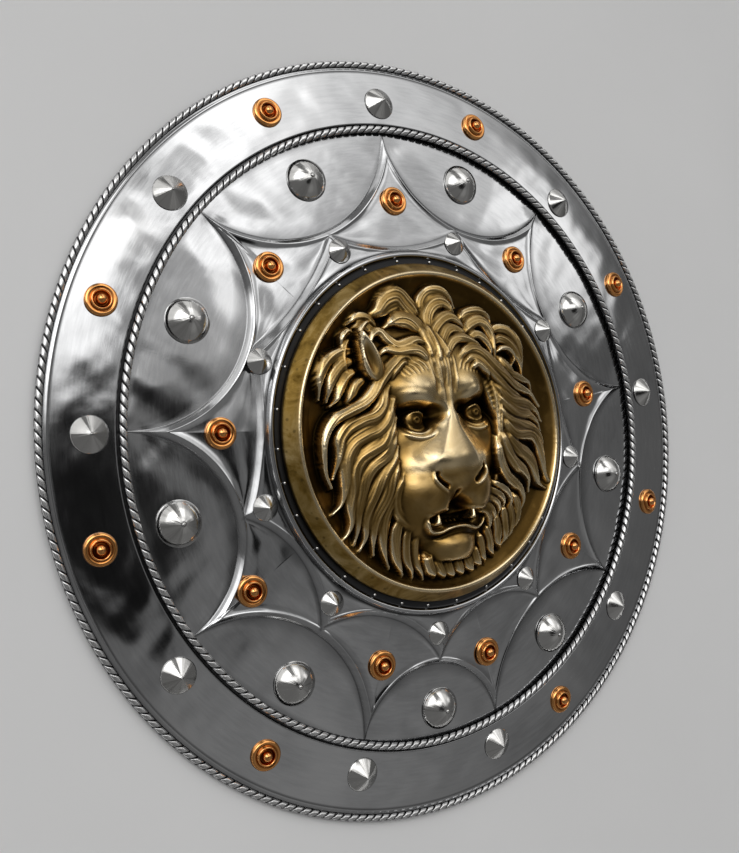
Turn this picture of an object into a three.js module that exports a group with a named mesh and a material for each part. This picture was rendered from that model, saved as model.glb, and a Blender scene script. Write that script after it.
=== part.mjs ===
// Round embossed shield with a brass lion boss. Millimetres, +Z up.
// The shield lies on its back: the rim rests on z = 0, the face looks up, and +Y is the top of the
// lion's head. Angles are in degrees, anticlockwise from +X as seen from above; numbered pieces run
// clockwise from the top.
import * as THREE from 'three';

// ---------------------------------------------------------------- driving dimensions
const RIM_R = 300;            // outside radius of the whole shield
const ROPE_R = 3.4;           // corner radius of the twisted square rod on the rim
const ROPE_STEPS = 72;        // steps round a twisted moulding
const EDGE_R = 292.4;         // edge of the sheet
const EDGE_Z = 4.4;           // top of the sheet at its edge
const SHEET = 1.2;            // sheet thickness
const BAND_IN_R = 247.0;      // inner edge of the smooth border band
const BAND_IN_Z = 11.8;
const BAND_CROWN = 0.7;       // the band bulges very slightly
const FIELD_R = 246.3;        // outer edge of the field, one small step down from the band
const FIELD_Z = 9.2;
const FIELD_SLOPE = 0.11;     // the field rises towards the middle
const TIER = 2.8;             // height of each embossed tier
const BEVEL = 4.0;            // width of the bevel round each tier
const FROPE_R = 242.6;        // centre line of the twisted moulding round the field
const FROPE_Z = 13.25;
const FROPE_ROD = 3.15;
const TIP_R = 238.9;          // where the points of the first tier end, at the field moulding
const ARC2_R = 147.0;         // lowest point of the arcs of the second tier
const BEAD_FOOT_R = 142.4;    // bead ring round the boss: foot, shoulders, crest
const BEAD_R = 139.2;
const BEAD_Z = 31.8;
const FLANGE_R = 136.8;       // flat seat of the medallion
const FLANGE_Z = 29.2;
const GAP = 0.35;             // clearance between pieces that touch

const MED_R = 131.5;          // medallion: outside radius, crest bead and dish
const MED_Z = FLANGE_Z + GAP;
const MED_EDGE_Z = 33.0;
const CREST_R = 122.6;
const CREST_Z = 43.6;
const DISH_R = 106;
const DISH_Z = 34.5;
const CAST = 3.2;             // casting thickness

// spokes (points of the tiers) and the middles between them, as laid out on the shield
const TIP_DEG = [90.8, 49.8, 6.1, -35.3, -76.8, -108.0, -148.0, -184.4, -225.6];
const MID_DEG = [71.7, 31.2, -14.3, -54.6, -90.9, -128.2, -163.0, -205.0, -246.4];
const MID_R = [174.8, 170.0, 176.5, 183.5, 182.8, 178.6, 173.5, 165.0, 173.5];
const DOME = [[213.5, 71.1], [206.5, 27.7], [211, -14.3], [216, -56.4], [218, -90.9], [217, -126.9], [213.4, -167.1], [209.5, -206.3], [213.5, -248.2]];
const BCONE_R = 264.7;
const BCONE_DEG = [90.6, 46.6, 4.0, -40.0, -78.5, -107.2, -145.2, -184.0, -224.1];
const SCONE = [[157, 72.4], [154.8, 29.8], [155, -12.2], [155.6, -55.5], [157.5, -92.0], [155.2, -129.8], [153, -163.4], [153, -203.4], [155.2, -246.0]];
const OROS_R = 270.2;
const OROS_DEG = [69.8, 26.2, -17.8, -62.0, null, -125.5, -167.5, -203.7, -247.1];   // the fifth is missing
const IROS = [[183.8, 91.4], [179.5, 50.6], [181, 6.6], [183, -36.6], [187, -76.2], [182.6, -108.3], [189.5, -147.6], [174, -183.9], [178.5, -226.8]];

// ---------------------------------------------------------------- small helpers
const rad = (d) => d * Math.PI / 180;
const polar = (r, deg, z) => [r * Math.cos(rad(deg)), r * Math.sin(rad(deg)), z];
const clamp = (v, a, b) => Math.min(b, Math.max(a, v));
const smooth = (t) => { const u = clamp(t, 0, 1); return u * u * (3 - 2 * u); };

// a closed mesh from points and triangles; faces are turned outward if they came out inward
function solid(points, tris) {
  let vol = 0;
  for (const [a, b, c] of tris) {
    const p = points[a], q = points[b], r = points[c];
    vol += p[0] * (q[1] * r[2] - q[2] * r[1]) - p[1] * (q[0] * r[2] - q[2] * r[0]) + p[2] * (q[0] * r[1] - q[1] * r[0]);
  }
  const index = [];
  for (const [a, b, c] of tris) { if (vol > 0) index.push(a, b, c); else index.push(a, c, b); }
  const g = new THREE.BufferGeometry();
  g.setAttribute('position', new THREE.Float32BufferAttribute(points.flat(), 3));
  g.setIndex(index);
  g.computeVertexNormals();
  return g;
}

// rings of points joined one to the next; a ring of one point closes an end.
// Two rings may have different counts: the strip between them advances by angle.
function ringSolid(rings) {
  const points = [], tris = [], first = [];
  for (const ring of rings) { first.push(points.length); points.push(...ring); }
  const turn = (p) => { const a = Math.atan2(p[1], p[0]); return a < -1e-9 ? a + 2 * Math.PI : Math.max(a, 0); };
  for (let k = 0; k + 1 < rings.length; k++) {
    const A = rings[k], B = rings[k + 1], a0 = first[k], b0 = first[k + 1], n = A.length, m = B.length;
    if (n === 1) { for (let j = 0; j < m; j++) tris.push([a0, b0 + (j + 1) % m, b0 + j]); continue; }
    if (m === 1) { for (let i = 0; i < n; i++) tris.push([a0 + i, a0 + (i + 1) % n, b0]); continue; }
    if (n === m) {
      for (let i = 0; i < n; i++) {
        const j = (i + 1) % n;
        tris.push([a0 + i, a0 + j, b0 + j], [a0 + i, b0 + j, b0 + i]);
      }
      continue;
    }
    const at = (R, i) => turn(R[i % R.length]) + (i >= R.length ? 2 * Math.PI : 0);
    let i = 0, j = 0;
    while (i < n || j < m) {
      const stepA = i < n && (j >= m || at(A, i + 1) <= at(B, j + 1));
      if (stepA) { tris.push([a0 + i % n, a0 + (i + 1) % n, b0 + j % m]); i++; }
      else { tris.push([a0 + i % n, b0 + (j + 1) % m, b0 + j % m]); j++; }
    }
  }
  return solid(points, tris);
}

// a small turned piece from its half profile, standing on z = 0
function turned(profile, sides) {
  const rings = profile.map(([r, z]) => {
    if (r === 0) return [[0, 0, z]];
    return Array.from({ length: sides }, (_, i) => polar(r, 360 * i / sides, z));
  });
  return ringSolid(rings);
}

// ---------------------------------------------------------------- the sheet's surface
const fieldZ = (r, tier) => FIELD_Z + (FIELD_R - r) * FIELD_SLOPE + TIER * tier;
function bandZ(r) {
  const t = (r - BAND_IN_R) / (EDGE_R - BAND_IN_R);
  return BAND_IN_Z + (EDGE_Z - BAND_IN_Z) * t + BAND_CROWN * 4 * t * (1 - t);
}

// circle through three points given in polar form, as centre and radius
function circleThrough(p, q, s) {
  const P = [p, q, s].map(([r, d]) => [r * Math.cos(rad(d)), r * Math.sin(rad(d))]);
  const [[ax, ay], [bx, by], [cx, cy]] = P;
  const D = 2 * (ax * (by - cy) + bx * (cy - ay) + cx * (ay - by));
  const ux = ((ax * ax + ay * ay) * (by - cy) + (bx * bx + by * by) * (cy - ay) + (cx * cx + cy * cy) * (ay - by)) / D;
  const uy = ((ax * ax + ay * ay) * (cx - bx) + (bx * bx + by * by) * (ax - cx) + (cx * cx + cy * cy) * (bx - ax)) / D;
  return { c: Math.hypot(ux, uy), deg: Math.atan2(uy, ux) * 180 / Math.PI, R: Math.hypot(ax - ux, ay - uy) };
}
// near crossing of the ray at angle deg with that circle, grown by w
function rayCircle(k, deg, w) {
  const a = rad(deg - k.deg), h = (k.R + w) ** 2 - (k.c * Math.sin(a)) ** 2;
  return k.c * Math.cos(a) - Math.sqrt(Math.max(h, 0));
}

const N = 9;
const tipDeg = (k) => TIP_DEG[((k % N) + N) % N] - 360 * Math.floor(k / N);
const midDeg = (k) => MID_DEG[((k % N) + N) % N] - 360 * Math.floor(k / N);
const midR = (k) => MID_R[((k % N) + N) % N];
const CELL = [], STAR = [];   // arc of each scalloped cell, and of each pointed cell
for (let k = 0; k < N; k++) {
  CELL.push(circleThrough([TIP_R, tipDeg(k)], [midR(k), midDeg(k)], [TIP_R, tipDeg(k + 1)]));
  STAR.push(circleThrough([midR(k - 1) - BEVEL - 0.6, midDeg(k - 1)], [ARC2_R, (midDeg(k - 1) + midDeg(k)) / 2], [midR(k) - BEVEL - 0.6, midDeg(k)]));
}
// columns crowd towards the narrow points
const SPLIT = [0, 0.09, 0.28, 0.6];
const columns = [];
for (let k = 0; k < N; k++) {
  for (const t of SPLIT) columns.push({ k, deg: tipDeg(k) + (midDeg(k) - tipDeg(k)) * t, star: k, tip: t === 0 });
  for (const t of SPLIT) {
    const deg = midDeg(k) + (tipDeg(k + 1) - midDeg(k)) * (1 - [1, 0.6, 0.28, 0.09][SPLIT.indexOf(t)]);
    columns.push({ k, deg, star: k + 1, tip: false, mid: t === 0 });
  }
}
function arcs(col) {
  let foot1 = rayCircle(CELL[col.k], col.deg, 0), top1 = rayCircle(CELL[col.k], col.deg, BEVEL);
  if (col.tip) { foot1 = TIP_R; top1 = TIP_R - 9; }
  top1 = Math.min(top1, foot1 - 1.2);
  let foot2 = rayCircle(STAR[col.star % N], col.deg, 0), top2 = rayCircle(STAR[col.star % N], col.deg, BEVEL);
  if (col.mid) {
    foot2 = foot1 - BEVEL - 0.6;
    top2 = Math.min(rayCircle(STAR[col.k], col.deg, BEVEL), rayCircle(STAR[(col.k + 1) % N], col.deg, BEVEL));
  }
  foot2 = Math.min(foot2, top1 - 0.5);
  top2 = Math.max(Math.min(top2, foot2 - 1.2), BEAD_FOOT_R + 0.5);
  return { foot1, top1, foot2, top2 };
}

function shieldPlate() {
  const cols = columns.map((c) => ({ deg: c.deg, ...arcs(c) }));
  cols.reverse();                                      // anticlockwise
  const shift = cols.findIndex((c) => ((c.deg % 360) + 360) % 360 < (((cols[(cols.indexOf(c) - 1 + cols.length) % cols.length].deg) % 360) + 360) % 360);
  const order = cols.slice(shift).concat(cols.slice(0, shift));
  const ring = (f) => order.map((c) => { const [r, z] = f(c); return polar(r, c.deg, z); });
  const t = SHEET;
  return ringSolid([
    [[0, 0, FLANGE_Z]],
    ring(() => [FLANGE_R, FLANGE_Z]),
    ring(() => [FLANGE_R + 0.7, FLANGE_Z + 1.6]),
    ring(() => [BEAD_R, BEAD_Z]),
    ring(() => [BEAD_R + 1.9, BEAD_Z - 1.0]),
    ring(() => [BEAD_FOOT_R, fieldZ(BEAD_FOOT_R, 2)]),
    ring((c) => [c.top2, fieldZ(c.top2, 2)]),
    ring((c) => [c.foot2, fieldZ(c.foot2, 1)]),
    ring((c) => [c.top1, fieldZ(c.top1, 1)]),
    ring((c) => [c.foot1, fieldZ(c.foot1, 0)]),
    ring(() => [FIELD_R, FIELD_Z]),
    ring(() => [BAND_IN_R, BAND_IN_Z]),
    ring(() => [269, bandZ(269)]),
    ring(() => [EDGE_R, EDGE_Z]),
    ring(() => [EDGE_R, EDGE_Z - t]),
    ring(() => [BAND_IN_R + 1.2, bandZ(BAND_IN_R + 1.2) - t]),
    ring(() => [FIELD_R + 0.6, FIELD_Z - t]),
    ring((c) => [c.foot1, fieldZ(c.foot1, 0) - t]),
    ring((c) => [c.top1, fieldZ(c.top1, 1) - t]),
    ring((c) => [c.foot2, fieldZ(c.foot2, 1) - t]),
    ring((c) => [c.top2, fieldZ(c.top2, 2) - t]),
    ring(() => [BEAD_FOOT_R - 0.2, fieldZ(BEAD_FOOT_R, 2) - t]),
    ring(() => [BEAD_FOOT_R - 1.6, FLANGE_Z - t]),
    [[0, 0, FLANGE_Z - t]],
  ]);
}

// twisted square rod bent into a ring: the square turns 45 degrees at each step
function rope(R, z, corner) {
  const points = [], tris = [];
  for (let i = 0; i < ROPE_STEPS; i++) {
    for (let j = 0; j < 4; j++) {
      const a = rad(90 * j + 45 * i);
      points.push(polar(R + corner * Math.cos(a), 360 * i / ROPE_STEPS, z + corner * Math.sin(a)));
    }
  }
  const full = Math.round(45 * ROPE_STEPS / 90) % 4;   // corners match up after the last step
  for (let i = 0; i < ROPE_STEPS; i++) {
    for (let j = 0; j < 4; j++) {
      const a = 4 * i + j, b = 4 * i + (j + 1) % 4;
      const last = i + 1 === ROPE_STEPS;
      const c = last ? (j + full) % 4 : 4 * (i + 1) + j, d = last ? (j + 1 + full) % 4 : 4 * (i + 1) + (j + 1) % 4;
      tris.push([a, b, d], [a, d, c]);
    }
  }
  return solid(points, tris);
}

// ---------------------------------------------------------------- the lion
// ellipsoidal masses: centre, half sizes, turn, height of the top, fall to the edge
const MASS = [
  { x: -5, y: 12, rx: 58, ry: 84, turn: 0, top: 58, fall: 18 },      // skull
  { x: -3.5, y: 47, rx: 34, ry: 28, turn: 0, top: 63, fall: 12 },    // forehead
  { x: -28, y: 26, rx: 21, ry: 10, turn: -8, top: 63.5, fall: 9 },   // brows
  { x: 24, y: 27, rx: 20, ry: 10, turn: 8, top: 61, fall: 9 },
  { x: -6.5, y: -6, rx: 15, ry: 46, turn: -4, top: 69.5, fall: 17 }, // bridge of the nose
  { x: -11, y: -37, rx: 18, ry: 13, turn: 0, top: 75, fall: 15 },    // nose
  { x: -33, y: -51, rx: 23, ry: 21, turn: 0, top: 69, fall: 22 },    // muzzle
  { x: 15, y: -52, rx: 21, ry: 20, turn: 0, top: 66, fall: 22 },
  { x: -40, y: -18, rx: 24, ry: 34, turn: 0, top: 56, fall: 16 },    // cheeks
  { x: 38, y: -16, rx: 23, ry: 34, turn: 0, top: 54, fall: 16 },
  { x: -9, y: -89, rx: 24, ry: 22, turn: 0, top: 62, fall: 22 },     // chin
  { x: -64, y: 50, rx: 13, ry: 17, turn: 35, top: 55, fall: 12 },    // ears
  { x: 66, y: 47, rx: 11, ry: 15, turn: -35, top: 53, fall: 12 },
];
const HOLLOW = [
  { x: -29, y: 9, rx: 15, ry: 9, deep: 8 },                          // eyes
  { x: 31, y: 11, rx: 13, ry: 9, deep: 8 },
  { x: -3, y: -70, rx: 27, ry: 7, deep: 13 },                        // open mouth
];
const MANE_TOP = 104, MANE_SIDE = 110, MANE_FOOT = 113;
const MANE_RISE = 19, LOCKS = 15, LOCK_H = 2.8, LOCK_SWEEP = 0.012;

function lionZ(x, y) {
  const r = Math.hypot(x, y), phi = Math.atan2(y, x);
  const floor = DISH_Z + 2.2 * smooth((r - 92) / 20);
  // mane: a broad mound with locks that sweep outward and down
  const s = Math.sin(phi);
  const edge = MANE_SIDE + (s > 0 ? (MANE_TOP - MANE_SIDE) * s * s : (MANE_FOOT - MANE_SIDE) * s * s) + 2.5 * Math.sin(9 * phi + 0.6);
  const inside = (edge - r);
  let z = floor;
  if (inside > 0) {
    const wave = LOCK_H * Math.cos(LOCKS * (phi + (x > 0 ? 1 : -1) * LOCK_SWEEP * (r - 70) * Math.cos(phi)));
    const mound = floor + 6 * smooth(inside / 8) + (MANE_RISE - 6) * smooth(inside / 52);
    z = mound + wave * smooth(inside / 10) * smooth((r - 40) / 30);
  }
  for (const m of MASS) {
    const c = Math.cos(rad(m.turn)), n = Math.sin(rad(m.turn)), dx = x - m.x, dy = y - m.y;
    const d = ((dx * c + dy * n) / m.rx) ** 2 + ((-dx * n + dy * c) / m.ry) ** 2;
    if (d < 1) z = Math.max(z, m.top - m.fall * (1 - Math.sqrt(1 - d)));
  }
  for (const h of HOLLOW) {
    const d = ((x - h.x) / h.rx) ** 2 + ((y - h.y) / h.ry) ** 2;
    z -= h.deep * Math.exp(-1.6 * d * d);
  }
  return Math.max(z, floor);
}
// the back of the casting follows the lowest of the face nearby
function backZ(x, y) {
  let low = lionZ(x, y);
  for (const reach of [4, 8]) for (let i = 0; i < 8; i++) low = Math.min(low, lionZ(x + reach * Math.cos(i * Math.PI / 4), y + reach * Math.sin(i * Math.PI / 4)));
  return Math.max(low - CAST, MED_Z + 0.4);
}
function lionMedallion() {
  const even = (n, r, f) => Array.from({ length: n }, (_, i) => { const p = polar(r, 360 * i / n, 0); p[2] = f(p[0], p[1]); return p; });
  const flat = (n, r, z) => even(n, r, () => z);
  const rings = [
    [[0, 0, lionZ(0, 0)]],
  ];
  for (const [r, n] of [[7, 8], [14, 14], [21, 20], [28, 26], [35, 32], [42, 38], [49, 44], [56, 48], [63, 52], [70, 56], [77, 62], [84, 66], [91, 70], [98, 76], [105, 84]]) rings.push(even(n, r, lionZ));
  rings.push(even(72, 112.5, (x, y) => Math.max(lionZ(x, y), DISH_Z + 3.2)));
  rings.push(flat(72, CREST_R - 1.8, CREST_Z - 1.6));
  rings.push(flat(72, CREST_R, CREST_Z));
  rings.push(flat(72, CREST_R + 1.7, CREST_Z - 1.3));
  rings.push(flat(72, MED_R, MED_EDGE_Z));
  rings.push(flat(72, MED_R, MED_Z));
  rings.push(flat(72, 121, MED_Z));
  rings.push(flat(48, 117.5, MED_Z + 1.0));
  for (const [r, n] of [[106, 48], [95, 46], [83, 42], [71, 38], [58, 32], [45, 26], [31, 18], [16, 10]]) rings.push(even(n, r, backZ));
  rings.push([[0, 0, backZ(0, 0)]]);
  return ringSolid(rings);
}

// ---------------------------------------------------------------- the group
const STEEL = { color: 0xb9bcc0, roughness: 0.22, metalness: 1 };
const BRASS = { color: 0x9c7433, roughness: 0.32, metalness: 1 };
const COPPER = { color: 0xc9763a, roughness: 0.2, metalness: 1 };
const shield = new THREE.Group();

function add(name, geometry, look) {
  const mesh = new THREE.Mesh(geometry, new THREE.MeshStandardMaterial(look));
  mesh.name = name;
  shield.add(mesh);
  return mesh;
}
// set a turned piece on the sheet: its base parallel to the surface, GAP above it
function seat(name, geometry, look, r, deg, z, slopeDeg) {
  const mesh = add(name, geometry, look);
  const n = new THREE.Vector3(Math.sin(rad(slopeDeg)) * Math.cos(rad(deg)), Math.sin(rad(slopeDeg)) * Math.sin(rad(deg)), Math.cos(rad(slopeDeg)));
  mesh.quaternion.setFromUnitVectors(new THREE.Vector3(0, 0, 1), n);
  const p = polar(r, deg, z);
  mesh.position.set(p[0] + n.x * GAP, p[1] + n.y * GAP, p[2] + n.z * GAP);
  return mesh;
}
const FIELD_TILT = Math.atan(FIELD_SLOPE) * 180 / Math.PI;
const bandTilt = (r) => Math.atan((bandZ(r - 12) - bandZ(r + 12)) / 24) * 180 / Math.PI;

add('shield_plate', shieldPlate(), STEEL);
add('rim_rope', rope(RIM_R - ROPE_R, ROPE_R, ROPE_R), STEEL);
add('field_rope', rope(FROPE_R, FROPE_Z, FROPE_ROD), STEEL);
add('lion_medallion', lionMedallion(), BRASS);

const DOME_PROFILE = [[0, 0], [17.1, 0], [17.1, 0.8], [14.2, 4.8], [8.2, 8.9], [0, 11.5]];
const BCONE_PROFILE = [[0, 0], [13.0, 0], [12.7, 0.8], [0, 8.9]];
const SCONE_PROFILE = [[0, 0], [9.7, 0], [9.5, 0.6], [0, 8.2]];
const ROSETTE_PROFILE = [[0, 0], [11.8, 0], [11.6, 1.3], [7.2, 4.5], [5.0, 2.6], [3.4, 5.8], [0, 7.2]];
for (let k = 0; k < N; k++) {
  const n = k + 1;
  seat(`dome_stud_${n}`, turned(DOME_PROFILE, 10), STEEL, DOME[k][0], DOME[k][1], fieldZ(DOME[k][0], 0), FIELD_TILT);
  seat(`band_cone_${n}`, turned(BCONE_PROFILE, 10), STEEL, BCONE_R, BCONE_DEG[k], bandZ(BCONE_R) - 0.1, bandTilt(BCONE_R));
  seat(`boss_cone_${n}`, turned(SCONE_PROFILE, 9), STEEL, SCONE[k][0], SCONE[k][1], fieldZ(SCONE[k][0], 2), FIELD_TILT);
  seat(`inner_rosette_${n}`, turned(ROSETTE_PROFILE, 8), COPPER, IROS[k][0], IROS[k][1], fieldZ(IROS[k][0], 1), FIELD_TILT);
  if (OROS_DEG[k] !== null) seat(`outer_rosette_${n}`, turned(ROSETTE_PROFILE, 8), COPPER, OROS_R, OROS_DEG[k], bandZ(OROS_R) - 0.1, bandTilt(OROS_R));
}

export default shield;
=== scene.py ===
"""Looks for the round embossed shield with a brass lion boss.

Lengths in the shape code are millimetres in the CAD frame; meshes are written in metres.
Angles are degrees anticlockwise from +X seen from above; numbered pieces run clockwise from the top.
"""

import math  # noqa: E402

import bpy  # noqa: E402
import numpy as np  # noqa: E402
from mathutils import Matrix, Vector  # noqa: E402


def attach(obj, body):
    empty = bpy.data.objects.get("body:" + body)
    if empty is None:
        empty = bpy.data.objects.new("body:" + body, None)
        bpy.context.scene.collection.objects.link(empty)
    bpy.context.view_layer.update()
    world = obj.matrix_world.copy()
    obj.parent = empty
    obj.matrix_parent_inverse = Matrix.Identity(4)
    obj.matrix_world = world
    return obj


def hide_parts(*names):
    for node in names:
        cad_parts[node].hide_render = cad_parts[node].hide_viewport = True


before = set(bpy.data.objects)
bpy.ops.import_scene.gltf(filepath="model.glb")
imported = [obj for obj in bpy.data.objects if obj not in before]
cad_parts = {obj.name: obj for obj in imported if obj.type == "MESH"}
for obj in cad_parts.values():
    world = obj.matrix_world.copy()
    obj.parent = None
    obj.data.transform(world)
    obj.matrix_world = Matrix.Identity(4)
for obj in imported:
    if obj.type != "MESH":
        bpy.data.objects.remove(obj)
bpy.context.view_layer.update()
MM = 0.001

# ------------------------------------------------------------------ driving dimensions, as in the CAD
RIM_R, ROPE_R = 300.0, 3.4
EDGE_R, EDGE_Z, SHEET = 292.4, 4.4, 1.2
BAND_IN_R, BAND_IN_Z, BAND_CROWN = 247.0, 11.8, 0.7
FIELD_R, FIELD_Z, FIELD_SLOPE = 246.3, 9.2, 0.11
TIER, BEVEL = 2.8, 4.0
FROPE_R, FROPE_Z, FROPE_ROD = 242.6, 13.25, 3.15
TIP_R, ARC2_R = 238.9, 147.0
BEAD_FOOT_R, BEAD_R, BEAD_Z = 142.4, 139.2, 31.8
FLANGE_R, FLANGE_Z, GAP = 136.8, 29.2, 0.35
MED_R, MED_Z, CREST_R, CREST_Z, DISH_Z = 131.5, 29.55, 122.6, 43.6, 34.5
TIP_DEG = [90.8, 49.8, 6.1, -35.3, -76.8, -108.0, -148.0, -184.4, -225.6]
MID_DEG = [71.7, 31.2, -14.3, -54.6, -90.9, -128.2, -163.0, -205.0, -246.4]
MID_R = [174.8, 170.0, 176.5, 183.5, 182.8, 178.6, 173.5, 165.0, 173.5]
DOME = [[213.5, 71.1], [206.5, 27.7], [211, -14.3], [216, -56.4], [218, -90.9], [217, -126.9], [213.4, -167.1], [209.5, -206.3], [213.5, -248.2]]
BCONE_R = 264.7
BCONE_DEG = [90.6, 46.6, 4.0, -40.0, -78.5, -107.2, -145.2, -184.0, -224.1]
SCONE = [[157, 72.4], [154.8, 29.8], [155, -12.2], [155.6, -55.5], [157.5, -92.0], [155.2, -129.8], [153, -163.4], [153, -203.4], [155.2, -246.0]]
OROS_R = 270.2
OROS_DEG = [69.8, 26.2, -17.8, -62.0, None, -125.5, -167.5, -203.7, -247.1]
IROS = [[183.8, 91.4], [179.5, 50.6], [181, 6.6], [183, -36.6], [187, -76.2], [182.6, -108.3], [189.5, -147.6], [174, -183.9], [178.5, -226.8]]
N = 9


def smooth(t):
    u = np.clip(t, 0.0, 1.0)
    return u * u * (3 - 2 * u)


# ------------------------------------------------------------------ mesh building
def zip_rings(a0, ang_a, b0, ang_b):
    """Triangles between two closed rings whose points are sorted by angle (in turns)."""
    n, m = len(ang_a), len(ang_b)
    if n == 1:
        return [(a0, b0 + (j + 1) % m, b0 + j) for j in range(m)]
    if m == 1:
        return [(a0 + i, a0 + (i + 1) % n, b0) for i in range(n)]
    if n == m:
        i = np.arange(n)
        j = (i + 1) % n
        return np.concatenate([np.stack([a0 + i, a0 + j, b0 + j], 1), np.stack([a0 + i, b0 + j, b0 + i], 1)])
    A = list(ang_a) + [ang_a[0] + 1.0, 9.0]
    B = list(ang_b) + [ang_b[0] + 1.0, 9.0]
    out, i, j = [], 0, 0
    while i < n or j < m:
        if i < n and (j >= m or A[i + 1] <= B[j + 1]):
            out.append((a0 + i % n, a0 + (i + 1) % n, b0 + j % m))
            i += 1
        else:
            out.append((a0 + i % n, b0 + (j + 1) % m, b0 + j % m))
            j += 1
    return out


def ring_solid(rings):
    """rings: list of (points (n,3), angles in turns (n,)). Returns points and outward triangles."""
    first, total = [], 0
    for p, _ in rings:
        first.append(total)
        total += len(p)
    tris = []
    for k in range(len(rings) - 1):
        tris.append(np.array(zip_rings(first[k], rings[k][1], first[k + 1], rings[k + 1][1]), dtype=np.int64))
    co = np.concatenate([p for p, _ in rings])
    tri = np.concatenate(tris)
    p, q, r = co[tri[:, 0]], co[tri[:, 1]], co[tri[:, 2]]
    if np.einsum("ij,ij->i", p, np.cross(q, r)).sum() < 0:
        tri = tri[:, [0, 2, 1]]
    return co, tri


def piece(name, co, tri, mat, nodes=(), attrs=None, flat=False):
    me = bpy.data.meshes.new(name)
    me.from_pydata((co * MM).tolist(), [], tri.tolist())
    me.validate()
    if not flat:
        me.shade_smooth()
    for key, val in (attrs or {}).items():
        at = me.attributes.new(key, "FLOAT", "POINT")
        at.data.foreach_set("value", np.asarray(val, np.float32))
    me.materials.append(mat)
    ob = bpy.data.objects.new(name, me)
    bpy.context.scene.collection.objects.link(ob)
    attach(ob, "root")
    if nodes:
        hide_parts(*nodes)
    return ob


# ------------------------------------------------------------------ material helpers
def new_mat(name):
    m = bpy.data.materials.new(name)
    m.use_nodes = True
    nt = m.node_tree
    b = next(n for n in nt.nodes if n.type == "BSDF_PRINCIPLED")
    return m, nt, b


def nd(nt, kind, **props):
    n = nt.nodes.new(kind)
    for k, v in props.items():
        setattr(n, k, v)
    return n


def math_node(nt, op, a, b=None, clamp=False):
    n = nd(nt, "ShaderNodeMath", operation=op, use_clamp=clamp)
    for i, v in enumerate((a, b)):
        if v is None:
            continue
        if hasattr(v, "is_linked"):
            nt.links.new(v, n.inputs[i])
        else:
            n.inputs[i].default_value = v
    return n.outputs[0]


def ramp(nt, fac, stops):
    n = nd(nt, "ShaderNodeValToRGB")
    nt.links.new(fac, n.inputs[0])
    el = n.color_ramp.elements
    while len(el) < len(stops):
        el.new(0.5)
    for e, (pos, col) in zip(el, stops):
        e.position = pos
        e.color = (*col, 1.0) if not isinstance(col, float) else (col, col, col, 1.0)
    return n.outputs[0]


def mix_col(nt, fac, a, b, blend="MIX"):
    n = nd(nt, "ShaderNodeMix", data_type="RGBA", blend_type=blend)
    for sock, v in ((n.inputs[0], fac), (n.inputs[6], a), (n.inputs[7], b)):
        if hasattr(v, "is_linked"):
            nt.links.new(v, sock)
        elif isinstance(v, (int, float)):
            sock.default_value = v
        else:
            sock.default_value = (*v, 1.0)
    return n.outputs[2]


def noise(nt, vec, scale, detail=3.0, rough=0.5, dist=0.0):
    n = nd(nt, "ShaderNodeTexNoise")
    n.inputs["Scale"].default_value = scale
    n.inputs["Detail"].default_value = detail
    n.inputs["Roughness"].default_value = rough
    n.inputs["Distortion"].default_value = dist
    nt.links.new(vec, n.inputs["Vector"])
    return n.outputs[0]


def bump(nt, height, strength, distance, normal=None):
    n = nd(nt, "ShaderNodeBump")
    n.inputs["Strength"].default_value = strength
    n.inputs["Distance"].default_value = distance
    nt.links.new(height, n.inputs["Height"])
    if normal is not None:
        nt.links.new(normal, n.inputs["Normal"])
    return n.outputs[0]


def attr(nt, name):
    n = nd(nt, "ShaderNodeAttribute", attribute_name=name)
    return n.outputs["Fac"]


def obj_coord(nt):
    return nd(nt, "ShaderNodeTexCoord").outputs["Object"]


def swirl(nt, vec, along, across):
    """A vector for streaks that run round the shield: slow along the circle, quick across it."""
    sep = nd(nt, "ShaderNodeSeparateXYZ")
    nt.links.new(vec, sep.inputs[0])
    r = math_node(nt, "SQRT", math_node(nt, "ADD", math_node(nt, "MULTIPLY", sep.outputs[0], sep.outputs[0]), math_node(nt, "MULTIPLY", sep.outputs[1], sep.outputs[1])))
    com = nd(nt, "ShaderNodeCombineXYZ")
    nt.links.new(math_node(nt, "MULTIPLY", math_node(nt, "DIVIDE", sep.outputs[0], r), along), com.inputs[0])
    nt.links.new(math_node(nt, "MULTIPLY", math_node(nt, "DIVIDE", sep.outputs[1], r), along), com.inputs[1])
    nt.links.new(math_node(nt, "MULTIPLY", r, across), com.inputs[2])
    return com.outputs[0]


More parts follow.
